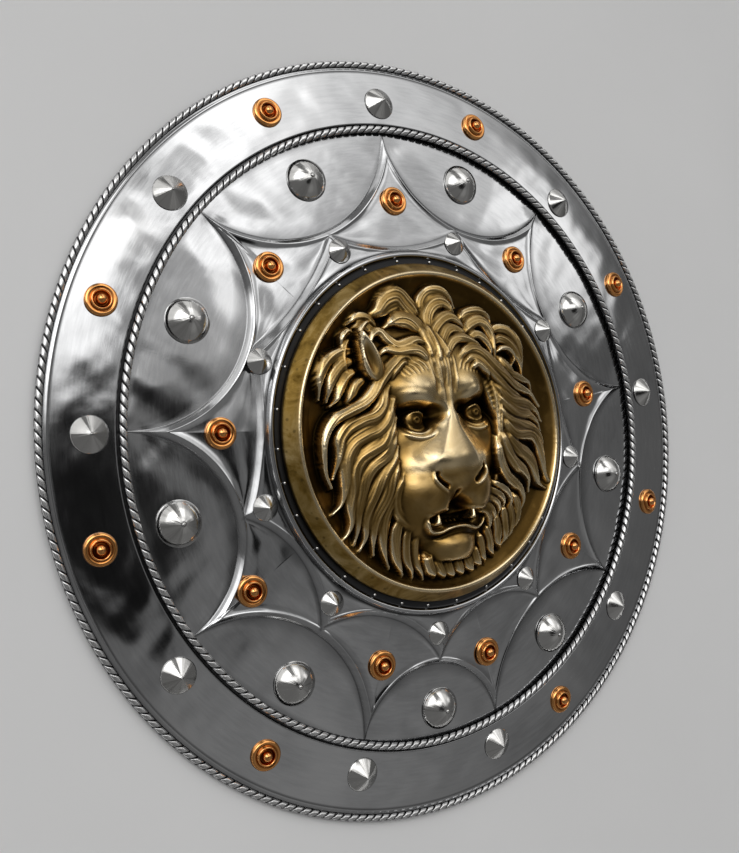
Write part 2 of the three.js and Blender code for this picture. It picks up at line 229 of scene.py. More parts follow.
# ------------------------------------------------------------------ materials
def steel_plate():
    m, nt, b = new_mat("polished_plate_steel")
    co = obj_coord(nt)
    # painted shade with grime: cav is 1 in creases, under the ropes and on the flange round the boss, and darkens the
    # steel there towards near black
    shade_and_grime = attr(nt, "cav")                               # 1 in creases
    streak = noise(nt, swirl(nt, co, 2.0, 60.0), 6.0, 5.0, 0.65)
    smudge = noise(nt, co, 11.0, 3.0, 0.5, 0.5)
    cloud = noise(nt, co, 55.0, 4.0, 0.6)
    tone = math_node(nt, "ADD", math_node(nt, "MULTIPLY", streak, 0.35), math_node(nt, "MULTIPLY", smudge, 0.65))
    base = ramp(nt, tone, [(0.30, (0.46, 0.465, 0.475)), (0.52, (0.62, 0.625, 0.635)), (0.75, (0.72, 0.72, 0.725))])
    base = mix_col(nt, math_node(nt, "MULTIPLY", shade_and_grime, 0.93, True), base, (0.014, 0.014, 0.015))
    nt.links.new(base, b.inputs["Base Color"])
    b.inputs["Metallic"].default_value = 1.0
    rough = math_node(nt, "ADD", math_node(nt, "MULTIPLY", tone, 0.14), 0.035)
    rough = math_node(nt, "ADD", rough, math_node(nt, "MULTIPLY", shade_and_grime, 0.25), True)
    nt.links.new(rough, b.inputs["Roughness"])
    n1 = bump(nt, smudge, 0.5, 0.0016)
    n2 = bump(nt, cloud, 0.16, 0.00022, n1)
    n3 = bump(nt, streak, 0.25, 0.00010, n2)
    nt.links.new(n3, b.inputs["Normal"])
    return m


def steel_rope():
    m, nt, b = new_mat("twisted_rope_steel")
    co = obj_coord(nt)
    # painted shade in the rope's grooves and on the lower side of the bar, painted highlight on its upper side
    lightness = attr(nt, "cav")                               # 1 on the proud faces
    n = noise(nt, co, 220.0, 3.0)
    base = ramp(nt, lightness, [(0.0, (0.015, 0.015, 0.016)), (0.40, (0.06, 0.06, 0.062)), (0.60, (0.55, 0.55, 0.555)), (1.0, (0.88, 0.88, 0.88))])
    nt.links.new(mix_col(nt, math_node(nt, "MULTIPLY", n, 0.22), base, (0.12, 0.12, 0.122)), b.inputs["Base Color"])
    b.inputs["Metallic"].default_value = 1.0
    nt.links.new(math_node(nt, "ADD", math_node(nt, "MULTIPLY", n, 0.20), 0.16), b.inputs["Roughness"])
    nt.links.new(bump(nt, n, 0.3, 0.0002), b.inputs["Normal"])
    return m


def steel_stud():
    m, nt, b = new_mat("mirror_stud_steel")
    co = obj_coord(nt)
    # painted shade: cav darkens the foot of each stud and the groove round its tip
    lightness = attr(nt, "cav")
    com = nd(nt, "ShaderNodeCombineXYZ")                  # place round the stud, so that the polishing marks run to its tip
    nt.links.new(attr(nt, "ca"), com.inputs[0])
    nt.links.new(attr(nt, "sa"), com.inputs[1])
    nt.links.new(attr(nt, "which"), com.inputs[2])
    rays = noise(nt, com.outputs[0], 3.2, 3.0, 0.55)
    n = noise(nt, co, 90.0, 4.0, 0.6)
    base = ramp(nt, lightness, [(0.0, (0.03, 0.03, 0.031)), (0.5, (0.45, 0.45, 0.45)), (1.0, (0.76, 0.755, 0.74))])
    base = mix_col(nt, math_node(nt, "MULTIPLY", n, 0.25), base, (0.33, 0.32, 0.31))
    dull = ramp(nt, rays, [(0.40, 0.0), (0.54, 0.10), (0.70, 0.50)])
    nt.links.new(mix_col(nt, dull, base, (0.27, 0.262, 0.25)), b.inputs["Base Color"])
    b.inputs["Metallic"].default_value = 1.0
    nt.links.new(math_node(nt, "ADD", math_node(nt, "MULTIPLY", rays, 0.12), 0.08), b.inputs["Roughness"])
    n1 = bump(nt, rays, 0.30, 0.0007)
    nt.links.new(bump(nt, n, 0.30, 0.00040, n1), b.inputs["Normal"])
    return m


def brass_lion():
    m, nt, b = new_mat("antique_lion_brass")
    co = obj_coord(nt)
    # patina in the hollows, plus painted highlight on the upper face and the crest and painted shade in the eye
    # sockets, on the lower muzzle, in the dish and at the edge's foot
    lightness = attr(nt, "cav")                               # 0 deep, 0.5 open, 1 proud
    rim = attr(nt, "rim")                                 # 1 on the sloped outer flange
    mottle = noise(nt, co, 38.0, 6.0, 0.65, 0.8)
    grain = noise(nt, co, 420.0, 4.0, 0.6)
    pits = nd(nt, "ShaderNodeTexVoronoi", feature="F1")
    pits.inputs["Scale"].default_value = 150.0
    nt.links.new(co, pits.inputs["Vector"])
    pit = ramp(nt, pits.outputs["Distance"], [(0.0, 0.0), (0.13, 0.0), (0.24, 1.0)])
    f = math_node(nt, "ADD", lightness, math_node(nt, "MULTIPLY", math_node(nt, "SUBTRACT", mottle, 0.5), 0.30), True)
    base = ramp(nt, f, [(0.05, (0.010, 0.006, 0.0015)), (0.30, (0.075, 0.042, 0.010)), (0.50, (0.31, 0.190, 0.058)), (0.70, (0.60, 0.42, 0.185)), (1.0, (0.95, 0.79, 0.52))])
    flange = ramp(nt, mottle, [(0.32, (0.09, 0.050, 0.008)), (0.48, (0.27, 0.168, 0.040)), (0.62, (0.46, 0.32, 0.12)), (0.75, (0.66, 0.51, 0.28))])
    base = mix_col(nt, rim, base, flange)
    base = mix_col(nt, math_node(nt, "MULTIPLY", math_node(nt, "SUBTRACT", 1.0, pit), math_node(nt, "MULTIPLY", rim, 0.55)), base, (0.06, 0.04, 0.015))
    nt.links.new(base, b.inputs["Base Color"])
    b.inputs["Metallic"].default_value = 1.0
    rough = math_node(nt, "ADD", math_node(nt, "MULTIPLY", math_node(nt, "SUBTRACT", 1.0, f), 0.26), 0.20)
    rough = math_node(nt, "ADD", rough, math_node(nt, "MULTIPLY", rim, 0.10), True)
    nt.links.new(rough, b.inputs["Roughness"])
    n1 = bump(nt, grain, 0.30, 0.00018)
    n2 = bump(nt, mottle, 0.35, 0.0008, n1)
    nt.links.new(n2, b.inputs["Normal"])
    return m


def copper_rosette():
    m, nt, b = new_mat("polished_rosette_copper")
    co = obj_coord(nt)
    # painted shade: cav darkens the rosette's grooves and its foot
    lightness = attr(nt, "cav")
    n = noise(nt, co, 130.0, 4.0, 0.6)
    base = ramp(nt, lightness, [(0.0, (0.07, 0.015, 0.003)), (0.45, (0.46, 0.165, 0.034)), (1.0, (0.95, 0.45, 0.155))])
    nt.links.new(mix_col(nt, math_node(nt, "MULTIPLY", n, 0.30), base, (0.62, 0.24, 0.06)), b.inputs["Base Color"])
    b.inputs["Metallic"].default_value = 1.0
    nt.links.new(math_node(nt, "ADD", math_node(nt, "MULTIPLY", n, 0.14), 0.10), b.inputs["Roughness"])
    nt.links.new(bump(nt, n, 0.25, 0.0002), b.inputs["Normal"])
    return m


PLATE, ROPE, STUD, BRASS, COPPER = steel_plate(), steel_rope(), steel_stud(), brass_lion(), copper_rosette()


# ------------------------------------------------------------------ the sheet
def field_z(r, tier=0.0):
    return FIELD_Z + (FIELD_R - r) * FIELD_SLOPE + TIER * tier


def band_z(r):
    t = (r - BAND_IN_R) / (EDGE_R - BAND_IN_R)
    return BAND_IN_Z + (EDGE_Z - BAND_IN_Z) * t + BAND_CROWN * 4 * t * (1 - t)


def circle_through(p, q, s):
    (ax, ay), (bx, by), (cx, cy) = [(r * math.cos(math.radians(d)), r * math.sin(math.radians(d))) for r, d in (p, q, s)]
    D = 2 * (ax * (by - cy) + bx * (cy - ay) + cx * (ay - by))
    ux = ((ax * ax + ay * ay) * (by - cy) + (bx * bx + by * by) * (cy - ay) + (cx * cx + cy * cy) * (ay - by)) / D
    uy = ((ax * ax + ay * ay) * (cx - bx) + (bx * bx + by * by) * (ax - cx) + (cx * cx + cy * cy) * (bx - ax)) / D
    return (ux, uy, math.hypot(ax - ux, ay - uy))


def ray_circle(K, deg, w):
    x, y, R = K
    c, a = math.hypot(x, y), np.radians(deg - math.degrees(math.atan2(y, x)))
    return c * np.cos(a) - np.sqrt(np.maximum((R + w) ** 2 - (c * np.sin(a)) ** 2, 0))


def tip_deg(k):
    return TIP_DEG[k % N] - 360 * (k // N)


def mid_deg(k):
    return MID_DEG[k % N] - 360 * (k // N)


CELL, STAR = [], []
for k in range(N):
    CELL.append(circle_through((TIP_R, tip_deg(k)), (MID_R[k], mid_deg(k)), (TIP_R, tip_deg(k + 1))))
    STAR.append(circle_through((MID_R[k - 1] - BEVEL - 0.6, mid_deg(k - 1)), (ARC2_R, (mid_deg(k - 1) + mid_deg(k)) / 2), (MID_R[k] - BEVEL - 0.6, mid_deg(k))))


def step_up(d, sharp=0.25):
    """0 outside the bevel, 1 on the tier, with rounded shoulders and a slight raised edge."""
    s = sum(np.clip((d + o * sharp) / BEVEL, 0, 1) for o in (-1, -0.5, 0, 0.5, 1)) / 5
    return s + 0.12 * np.exp(-((d - BEVEL) / 0.65) ** 2)


def dists(x, y):
    d1 = np.full(x.shape, 1e9)
    d2 = np.full(x.shape, 1e9)
    for cx, cy, R in CELL:
        d1 = np.minimum(d1, np.hypot(x - cx, y - cy) - R)
    for cx, cy, R in STAR:
        d2 = np.minimum(d2, np.hypot(x - cx, y - cy) - R)
    return d1, d2


def waves(x, y):
    """The slow unevenness of hand-raised sheet."""
    w = 0
    for lx, ly, ph, a in ((71, 38, 0.3, 0.11), (-52, 64, 1.9, 0.10), (33, -58, 4.0, 0.07), (-41, -35, 2.6, 0.06), (24, 29, 5.1, 0.03), (-27, 21, 0.9, 0.03)):
        w = w + a * np.sin(2 * np.pi * (x / lx + y / ly) + ph)
    return w


def sheet_z(x, y, fine=True):
    r = np.hypot(x, y)
    d1, d2 = dists(x, y)
    z = field_z(r) + TIER * step_up(d1) * (1 + step_up(d2))
    if fine:
        inner = smooth((r - 143) / 6) * smooth((245.5 - r) / 4)
        z = z + waves(x, y) * inner
        # every cell and every star panel is raised a little in its middle, and dips towards its outline
        z = z - 0.95 * (1 - smooth(-d1 / 30)) * smooth((FIELD_R - 5 - r) / 14) * (d1 < 0.2 * BEVEL) * smooth((BEVEL * 0.2 - d1) / (0.2 * BEVEL))
        e1 = np.minimum(d1 - BEVEL, -d2)
        z = z - 0.75 * (1 - smooth(e1 / 17)) * smooth(e1 / 2.6) * (e1 > 0)
        e2 = np.minimum(d2 - BEVEL, r - 143.5)
        z = z - 0.35 * (1 - smooth(e2 / 9)) * smooth(e2 / 2.2) * (e2 > 0) * (d1 > BEVEL)
    return z, d1, d2


def shield_plate():
    half = 64
    f = lambda t: 0.3 * t + 0.7 * t ** 2.6
    degs, cell, star = [], [], []
    for k in range(N):
        for i in range(half):
            degs.append(tip_deg(k) + (mid_deg(k) - tip_deg(k)) * f(i / half))
            cell.append(k)
            star.append(k)
        for i in range(half):
            degs.append(mid_deg(k) + (tip_deg(k + 1) - mid_deg(k)) * (1 - f(1 - i / half)))
            cell.append(k)
            star.append((k + 1) % N)
    degs, cell, star = (np.array(v)[::-1] for v in (degs, cell, star))       # anticlockwise
    turn = np.mod(degs / 360.0, 1.0)
    s = int(np.argmin(turn))
    degs, cell, star, turn = (np.roll(v, -s) for v in (degs, cell, star, turn))
    NC = len(degs)
    c, sn = np.cos(np.radians(degs)), np.sin(np.radians(degs))

    def ring_at(r, z, shade_and_grime):
        r = np.broadcast_to(np.asarray(r, float), (NC,))
        z = np.broadcast_to(np.asarray(z, float), (NC,))
        return (np.stack([r * c, r * sn, z], 1), turn), np.broadcast_to(np.asarray(shade_and_grime, float), (NC,))

    def offsets(kind, w):
        src = CELL if kind == 1 else STAR
        idx = cell if kind == 1 else star
        out = np.empty(NC)
        for k in range(N):
            m = idx == k
            out[m] = ray_circle(src[k], degs[m], w)
        return out

    W = (5.2, 4.6, 4.0, 3.4, 2.0, 0.6, 0.0, -0.7)
    t2 = [offsets(2, w) for w in W]
    t1 = [offsets(1, w) for w in W]
    radii = [np.full(NC, 142.75)]
    radii += [None] * 3 + t2 + [None] * 5 + t1 + [None] * 5 + [np.full(NC, 245.9), np.full(NC, FIELD_R)]
    # keep the rings in order: each set stays inside the next
    for j in range(len(t1) - 1, -1, -1):
        lim = FIELD_R - 0.9 - 0.12 * (len(t1) - j) if j == len(t1) - 1 else t1[j + 1] - 0.12
        t1[j][:] = np.minimum(t1[j], lim)
    for j in range(len(t2) - 1, -1, -1):
        lim = t1[0] - 0.8 if j == len(t2) - 1 else t2[j + 1] - 0.12
        t2[j][:] = np.minimum(t2[j], lim)
    lo = 143.3
    for j in range(len(t2)):
        t2[j][:] = np.maximum(t2[j], lo + 0.12 * j)
    i = 0
    while i < len(radii):
        if radii[i] is None:
            j = i
            while radii[j] is None:
                j += 1
            a, b = radii[i - 1], radii[j]
            for q in range(i, j):
                radii[q] = a + (b - a) * (q - i + 1) / (j - i + 1)
            i = j
        i += 1

    rings, shade_and_grime = [], []

    def put(r, z, g=0.0):
        a, b = ring_at(r, z, g)
        rings.append(a)
        shade_and_grime.append(b)

    def put_even(n, r, z, g=0.0):
        a = np.arange(n) / n
        rings.append((np.stack([r * np.cos(2 * np.pi * a), r * np.sin(2 * np.pi * a), np.full(n, z)], 1), a))
        shade_and_grime.append(np.full(n, g))

    # painted shade: the flat under the boss, the flange round it and the foot of the bead get full darkness
    rings.append((np.array([[0.0, 0.0, FLANGE_Z]]), np.array([0.0])))
    shade_and_grime.append(np.array([1.0]))
    put_even(24, 60, FLANGE_Z, 1.0)
    put_even(96, 118, FLANGE_Z, 1.0)
    for r, z, g in ((129.5, 29.2, 1.0), (132.6, 29.2, 1.0), (135.6, 29.2, 1.0), (136.7, 29.3, 1.0), (137.15, 29.9, 0.6), (137.6, 30.8, 0.1), (138.2, 31.45, 0.0), (139.2, 31.8, 0.0),
                    (140.1, 31.55, 0.0), (140.8, 31.0, 0.0), (141.4, 30.0, 0.1), (141.9, 28.4, 0.45), (142.3, 26.75, 0.95)):
        put(r, z, g)
    for r in radii:
        x, y = r * c, r * sn
        z, d1, d2 = sheet_z(x, y)
        # painted shade with grime along the feet of the bevels, at the bead foot and where the field runs under the
        # rope
        g = 0.75 * np.exp(-((d1 + 0.2) / 0.75) ** 2) + 0.75 * np.exp(-((d2 + 0.2) / 0.75) ** 2) * (d1 > 2)
        g = g + np.exp(-((r - 142.5) / 0.9) ** 2) + np.exp(-((FIELD_R - r) / 3.2) ** 2)
        put(r, z, np.clip(g, 0, 1))
    for r in (246.9, 247.2, 248.2, 251, 255, 260, 265, 270, 275, 280, 285, 289.4, 290.6, 291.1, 291.6, 292.1, 292.6, 293.2, 294.0, 294.6):
        x, y = r * c, r * sn
        z = band_z(r) + 0.50 * math.exp(-((r - 292.1) / 0.75) ** 2) + waves(x, y) * smooth((r - 248) / 5) * smooth((287 - r) / 5)
        if r < 247:
            z = z - 0.35
        # painted shade on the band where it runs under the two ropes, and at its outer edge
        put(r, z, min(1.0, 0.8 * math.exp(-((r - 246.9) / 0.5) ** 2) + 0.80 * math.exp(-((r - 290.9) / 0.5) ** 2) + math.exp(-((r - 294.9) / 0.9) ** 2)))
    put(294.6, band_z(294.6) - SHEET, 1.0)
    put(270.0, band_z(270.0) - SHEET, 0.3)
    put(BAND_IN_R + 1.2, band_z(BAND_IN_R + 1.2) - SHEET, 0.3)
    put(FIELD_R + 0.6, FIELD_Z - SHEET, 0.3)
    foot1, top1, foot2, top2 = t1[6], t1[2], t2[6], t2[2]
    under = [foot1, top1, (foot2 * 0.5 + top1 * 0.5), foot2, top2]
    for r in under:
        z, _, _ = sheet_z(r * c, r * sn)
        put(r, z - SHEET, 0.3)
    put(BEAD_FOOT_R - 0.2, field_z(BEAD_FOOT_R, 2) - SHEET, 0.3)
    put(BEAD_FOOT_R - 1.6, FLANGE_Z - SHEET, 0.3)
    put_even(96, 120, FLANGE_Z - SHEET, 0.3)
    rings.append((np.array([[0.0, 0.0, FLANGE_Z - SHEET]]), np.array([0.0])))
    shade_and_grime.append(np.array([0.3]))
    co, tri = ring_solid(rings)
    return piece("plate_embossed", co, tri, PLATE, ["shield_plate"], {"cav": np.concatenate(shade_and_grime)})


# ------------------------------------------------------------------ twisted mouldings
def rope(name, R, z0, corner, segments, node, hand=1.0, steps=9):
    n = segments * steps
    i = np.arange(n)
    phi = 2 * np.pi * i / n
    twist = hand * np.pi * i / steps
    near = [-0.50, -0.30, -0.13, 0.13, 0.30, 0.50]
    al = np.sort(np.mod([c0 + t for c0 in (0.5 * np.pi, 1.5 * np.pi) for t in near + [0.85, 1.25, 1.57, 1.89, 2.29]], 2 * np.pi))
    m = len(al)
    groove = sum(np.exp(-((np.mod(al - c0 + np.pi, 2 * np.pi) - np.pi) / 0.33) ** 2) for c0 in (0.5 * np.pi, 1.5 * np.pi))
    rr = corner * (1 - 0.46 * groove)
    a = al[None, :] + twist[:, None]
    rad = R + rr[None, :] * np.cos(a)
    co = np.stack([rad * np.cos(phi)[:, None], rad * np.sin(phi)[:, None], z0 + rr[None, :] * np.sin(a)], -1).reshape(-1, 3)
    I, J = np.meshgrid(i, np.arange(m), indexing="ij")
    v = lambda A, B: (A % n) * m + B % m
    tri = np.concatenate([np.stack([v(I, J), v(I, J + 1), v(I + 1, J + 1)], -1).reshape(-1, 3), np.stack([v(I, J), v(I + 1, J + 1), v(I + 1, J)], -1).reshape(-1, 3)])
    q0, q1, q2 = co[tri[:, 0]], co[tri[:, 1]], co[tri[:, 2]]
    if np.einsum("ij,ij->i", q0, np.cross(q1, q2)).sum() < 0:
        tri = tri[:, [0, 2, 1]]
    # painted light and shade: light on the upper side of the bar, painted shade in its grooves and low down
    up = np.sin(a)
    lightness = np.clip(1.15 - 1.6 * groove, 0, 1)[None, :] * np.clip(0.40 + 0.72 * up, 0, 1)
    return piece(name, co, tri, ROPE, [node], {"cav": lightness.reshape(-1)})


# ------------------------------------------------------------------ studs and rosettes
def turned(profile, sides):
    """profile: (r, z, lightness) from the middle of the base, up the outside to the top; low lightness paints shade."""
    rings, at = [], []
    for r, z, q in profile:
        if r == 0:
            rings.append((np.array([[0.0, 0.0, z]]), np.array([0.0])))
            at.append(np.array([q]))
        else:
            a = np.arange(sides) / sides
            rings.append((np.stack([r * np.cos(2 * np.pi * a), r * np.sin(2 * np.pi * a), np.full(sides, z)], 1), a))
            at.append(np.full(sides, q))
    co, tri = ring_solid(rings)
    return co, tri, np.concatenate(at)


def curve(points, per=4):
    """Points of a smooth curve through (r, z, lightness) knots."""
    P = np.array(points, float)
    out = []
    for i in range(len(P) - 1):
        p0, p1, p2, p3 = P[max(i - 1, 0)], P[i], P[i + 1], P[min(i + 2, len(P) - 1)]
        for k in range(per):
            t = k / per
            out.append(0.5 * ((2 * p1) + (-p0 + p2) * t + (2 * p0 - 5 * p1 + 4 * p2 - p3) * t * t + (-p0 + 3 * p1 - 3 * p2 + p3) * t ** 3))
    out.append(P[-1])
    return [tuple(v) for v in out]


# the third value is the lightness of the colour: low values paint shade at each foot and in the grooves, round the
# dome's and cone's tips and in the rosette's rings
DOME_P = [(0, 0, 0.3), (16.9, 0, 0.0), (17.1, 0.15, 0.3), (17.1, 0.7, 0.9), (17.0, 1.1, 1.0)] + curve([(16.7, 1.9, 1), (15.1, 4.1, 1), (12.0, 6.8, 1), (8.2, 9.0, 1), (4.6, 10.4, 1), (2.3, 11.0, 1), (1.9, 11.05, 0.15), (1.6, 11.2, 0.3), (1.2, 11.75, 1), (0.6, 12.05, 1)], 4) + [(0, 12.1, 1)]
BCONE_P = [(0, 0, 0.3), (12.9, 0, 0.0), (13.0, 0.25, 0.4), (12.75, 0.8, 1), (12.1, 1.3, 1), (8.3, 3.75, 1), (4.2, 6.35, 1), (1.3, 8.15, 1), (0.9, 8.35, 0.3), (0.45, 8.9, 0.9), (0, 9.05, 1)]
SCONE_P = [(0, 0, 0.3), (9.6, 0, 0.0), (9.65, 0.25, 0.4), (9.4, 0.75, 1), (8.8, 1.25, 1), (5.6, 4.0, 1), (2.6, 6.3, 1), (0.9, 7.65, 1), (0.35, 8.0, 1), (0, 8.1, 1)]
ROS_P = [(0, 0, 0.2), (11.6, 0, 0.0), (11.8, 0.2, 0.4), (11.85, 0.75, 1.0)] + curve([(11.7, 1.5, 1.0), (11.1, 2.3, 1.0), (10.0, 2.75, 1.0), (8.9, 2.6, 0.7), (8.3, 2.5, 0.30), (7.95, 3.1, 0.6), (7.4, 4.2, 1), (6.7, 4.5, 1), (6.0, 3.9, 0.9), (5.5, 2.5, 0.25), (4.8, 1.7, 0.08), (4.0, 1.8, 0.15), (3.75, 2.9, 0.7), (3.65, 4.3, 1), (2.9, 5.9, 1), (1.5, 6.85, 1)], 3) + [(0, 7.15, 1)]


def seat(name, shape, mat, node, r, deg, z, slope, spin=0.0):
    co, tri, q = shape
    a = math.radians(deg)
    n = Vector((math.sin(slope) * math.cos(a), math.sin(slope) * math.sin(a), math.cos(slope)))
    rot = Vector((0, 0, 1)).rotation_difference(n).to_matrix() @ Matrix.Rotation(math.radians(spin), 3, "Z")
    at = Vector((r * math.cos(a), r * math.sin(a), z)) + n * 0.12
    p = co @ np.array(rot).T + np.array(at)
    rad = np.maximum(np.hypot(co[:, 0], co[:, 1]), 1e-6)
    marks = {"ca": co[:, 0] / rad, "sa": co[:, 1] / rad, "which": np.full(len(co), 3.7 * sum(map(ord, name)) % 50)}
    return piece(name, p, tri, mat, [node], {"cav": q, **marks})


def studs():
    tilt = math.atan(FIELD_SLOPE)
    btilt = lambda r: math.atan((band_z(r - 12) - band_z(r + 12)) / 24)
    dome, bcone, scone = turned([(0.97 * r, z, q) for r, z, q in DOME_P], 64), turned(BCONE_P, 56), turned(SCONE_P, 48)
    ros = turned([(0.97 * r, z, q) for r, z, q in ROS_P], 56)
    for k in range(N):
        n = k + 1
        seat(f"dome_{n}", dome, STUD, f"dome_stud_{n}", DOME[k][0], DOME[k][1], field_z(DOME[k][0]), tilt, 17 * k)
        seat(f"cone_band_{n}", bcone, STUD, f"band_cone_{n}", BCONE_R, BCONE_DEG[k], band_z(BCONE_R) - 0.1, btilt(BCONE_R), 31 * k)
        seat(f"cone_boss_{n}", scone, STUD, f"boss_cone_{n}", SCONE[k][0], SCONE[k][1], field_z(SCONE[k][0], 2), tilt, 23 * k)
        seat(f"rosette_in_{n}", ros, COPPER, f"inner_rosette_{n}", IROS[k][0], IROS[k][1], field_z(IROS[k][0], 1), tilt)
        if OROS_DEG[k] is not None:
            seat(f"rosette_out_{n}", ros, COPPER, f"outer_rosette_{n}", OROS_R, OROS_DEG[k], band_z(OROS_R) - 0.1, btilt(OROS_R))


def pins():
    # painted shade at the foot of each pin
    shape = turned([(0, -0.3, 0.2), (1.35, -0.3, 0.2), (1.35, 0.15, 0.5), (1.15, 0.75, 1), (0.7, 1.15, 1), (0, 1.3, 1)], 12)
    cos, tris, qs, base = [], [], [], 0
    count = 30
    for i in range(count):
        a = 2 * math.pi * (i + 0.12 * math.sin(5.1 * i)) / count
        cos.append(shape[0] + np.array([134.35 * math.cos(a), 134.35 * math.sin(a), FLANGE_Z]))
        tris.append(shape[1] + base)
        qs.append(shape[2])
        base += len(shape[0])
    piece("boss_pins", np.concatenate(cos), np.concatenate(tris), STUD, [], {"cav": np.concatenate(qs)})


# ------------------------------------------------------------------ the lion
STEP = 0.5
HALF = 134.0
AX = np.arange(-HALF, HALF + STEP / 2, STEP)
GX, GY = np.meshgrid(AX, AX)                     # rows are y
GR = np.hypot(GX, GY)


def blur(a, mm):
    k = np.exp(-0.5 * (np.arange(-int(4 * mm / STEP), int(4 * mm / STEP) + 1) * STEP / mm) ** 2)
    k /= k.sum()
    pad = len(k) // 2
    b = np.pad(a, pad, mode="edge")
    b = np.apply_along_axis(lambda v: np.convolve(v, k, "valid"), 0, b)
    return np.apply_along_axis(lambda v: np.convolve(v, k, "valid"), 1, b)


def smax(a, b, k):
    h = np.maximum(k - np.abs(a - b), 0) / k
    return np.maximum(a, b) + h * h * k * 0.25


def hill(x, y, rx, ry, top, fall, turn=0.0, power=2.0):
    c, s = math.cos(math.radians(turn)), math.sin(math.radians(turn))
    dx, dy = GX - x, GY - y
    d = np.hypot((dx * c + dy * s) / rx, (-dx * s + dy * c) / ry)
    return top - fall * d ** power


def pit(x, y, rx, ry, turn=0.0, power=2.0):
    c, s = math.cos(math.radians(turn)), math.sin(math.radians(turn))
    dx, dy = GX - x, GY - y
    d = np.hypot((dx * c + dy * s) / rx, (-dx * s + dy * c) / ry)
    return np.exp(-(d ** (2 * power)))


def spline(points, step=0.7):
    P = np.array(points, float)
    P = np.vstack([2 * P[0] - P[1], P, 2 * P[-1] - P[-2]])
    out = []
    for i in range(1, len(P) - 2):
        p0, p1, p2, p3 = P[i - 1], P[i], P[i + 1], P[i + 2]
        n = max(3, int(np.hypot(*(p2 - p1)) / step))
        t = (np.arange(n) / n)[:, None]
        out.append(0.5 * ((2 * p1) + (-p0 + p2) * t + (2 * p0 - 5 * p1 + 4 * p2 - p3) * t * t + (-p0 + 3 * p1 - 3 * p2 + p3) * t ** 3))
    out.append(P[-2][None, :])
    return np.concatenate(out)


def along(points, reach):
    """Window of the grid near a line: (window, place along 0..1, signed distance, distance past an end)."""
    Q = spline(points)
    x0, y0 = Q.min(0) - reach
    x1, y1 = Q.max(0) + reach
    i0, i1 = np.searchsorted(AX, (x0, x1))
    j0, j1 = np.searchsorted(AX, (y0, y1))
    win = (slice(j0, j1), slice(i0, i1))
    px, py = GX[win], GY[win]
    best = np.full(px.shape, 1e9)
    idx = np.zeros(px.shape, int)
    for k, (qx, qy) in enumerate(Q):
        d = (px - qx) ** 2 + (py - qy) ** 2
        m = d < best
        best[m] = d[m]
        idx[m] = k
    T = np.gradient(Q, axis=0)
    L = np.hypot(T[:, 0], T[:, 1])
    T = T / L[:, None]
    dx, dy = px - Q[idx, 0], py - Q[idx, 1]
    lat = T[idx, 0] * dy - T[idx, 1] * dx
    lon = T[idx, 0] * dx + T[idx, 1] * dy
    s = np.concatenate([[0], np.cumsum(np.hypot(*np.diff(Q, axis=0).T))])
    past = np.where((idx == 0) & (lon < 0), -lon, np.where((idx == len(Q) - 1) & (lon > 0), lon, 0))
    return win, np.clip((s[idx] + lon) / s[-1], 0, 1), lat, past, s[-1]


def ridge(z, points, width, height, ends=0.25):
    """Adds a rounded line; a negative height cuts one."""
    win, s, lat, past, _ = along(points, width + 1)
    f = np.clip(1 - (np.hypot(lat, past) / width) ** 2, 0, 1) ** 1.5
    z[win] += height * f * smooth(s / ends + 0.15) * smooth((1 - s) / ends + 0.15)


def mound(x, y):
    r = np.hypot(x, y)
    return 60.0 - 15.5 * smooth((r - 46) / 62)


COUNT = [0]


def lock(z, points, width, strands, lift=0.0, head=0.6, tail=0.25, deep=1.25, rise=None):
    """One lock of the mane: a rounded, tapering band with parallel strands, laid over what is there."""
    COUNT[0] += 1
    win, s, lat, past, length = along(points, width * 0.6 + 1)
    taper = (head + (1 - head) * smooth(s / 0.25)) * (1 - (1 - tail) * smooth((s - 0.55) / 0.45))
    W = 0.5 * width * taper
    u = lat / W
    inside = (np.abs(u) < 1) & (past < 0.6 * W)
    uu = np.clip(u, -1, 1)
    top = mound(GX[win], GY[win]) + lift + 1.6 * np.sin(np.pi * s) - 2.5 * (1 - smooth(s / 0.12)) - 3.0 * smooth((s - 0.80) / 0.20)
    crown = (rise if rise is not None else min(0.42 * width, 5.0)) * (1 - np.sqrt(np.clip(1 - uu ** 2, 0, 1)))
    ph = strands * (uu + 0.20 * np.sin(0.16 * length * s + 2.1 * COUNT[0]) * (1 - uu ** 2) + 1) / 2
    g = np.abs(np.sin(np.pi * ph)) ** 0.75
    vary = 0.45 * np.sin(2.4 * np.floor(ph) + 1.7 * COUNT[0]) + 0.25 * np.sin(5.0 * s + 1.3 * np.floor(ph) + COUNT[0])
    h = top - crown - deep * (1 - g) * smooth(s / 0.06 + 0.3) + vary * g
    h = h - 1.2 * past
    cur = z[win]
    z[win] = np.where(inside, np.maximum(cur, h), cur)


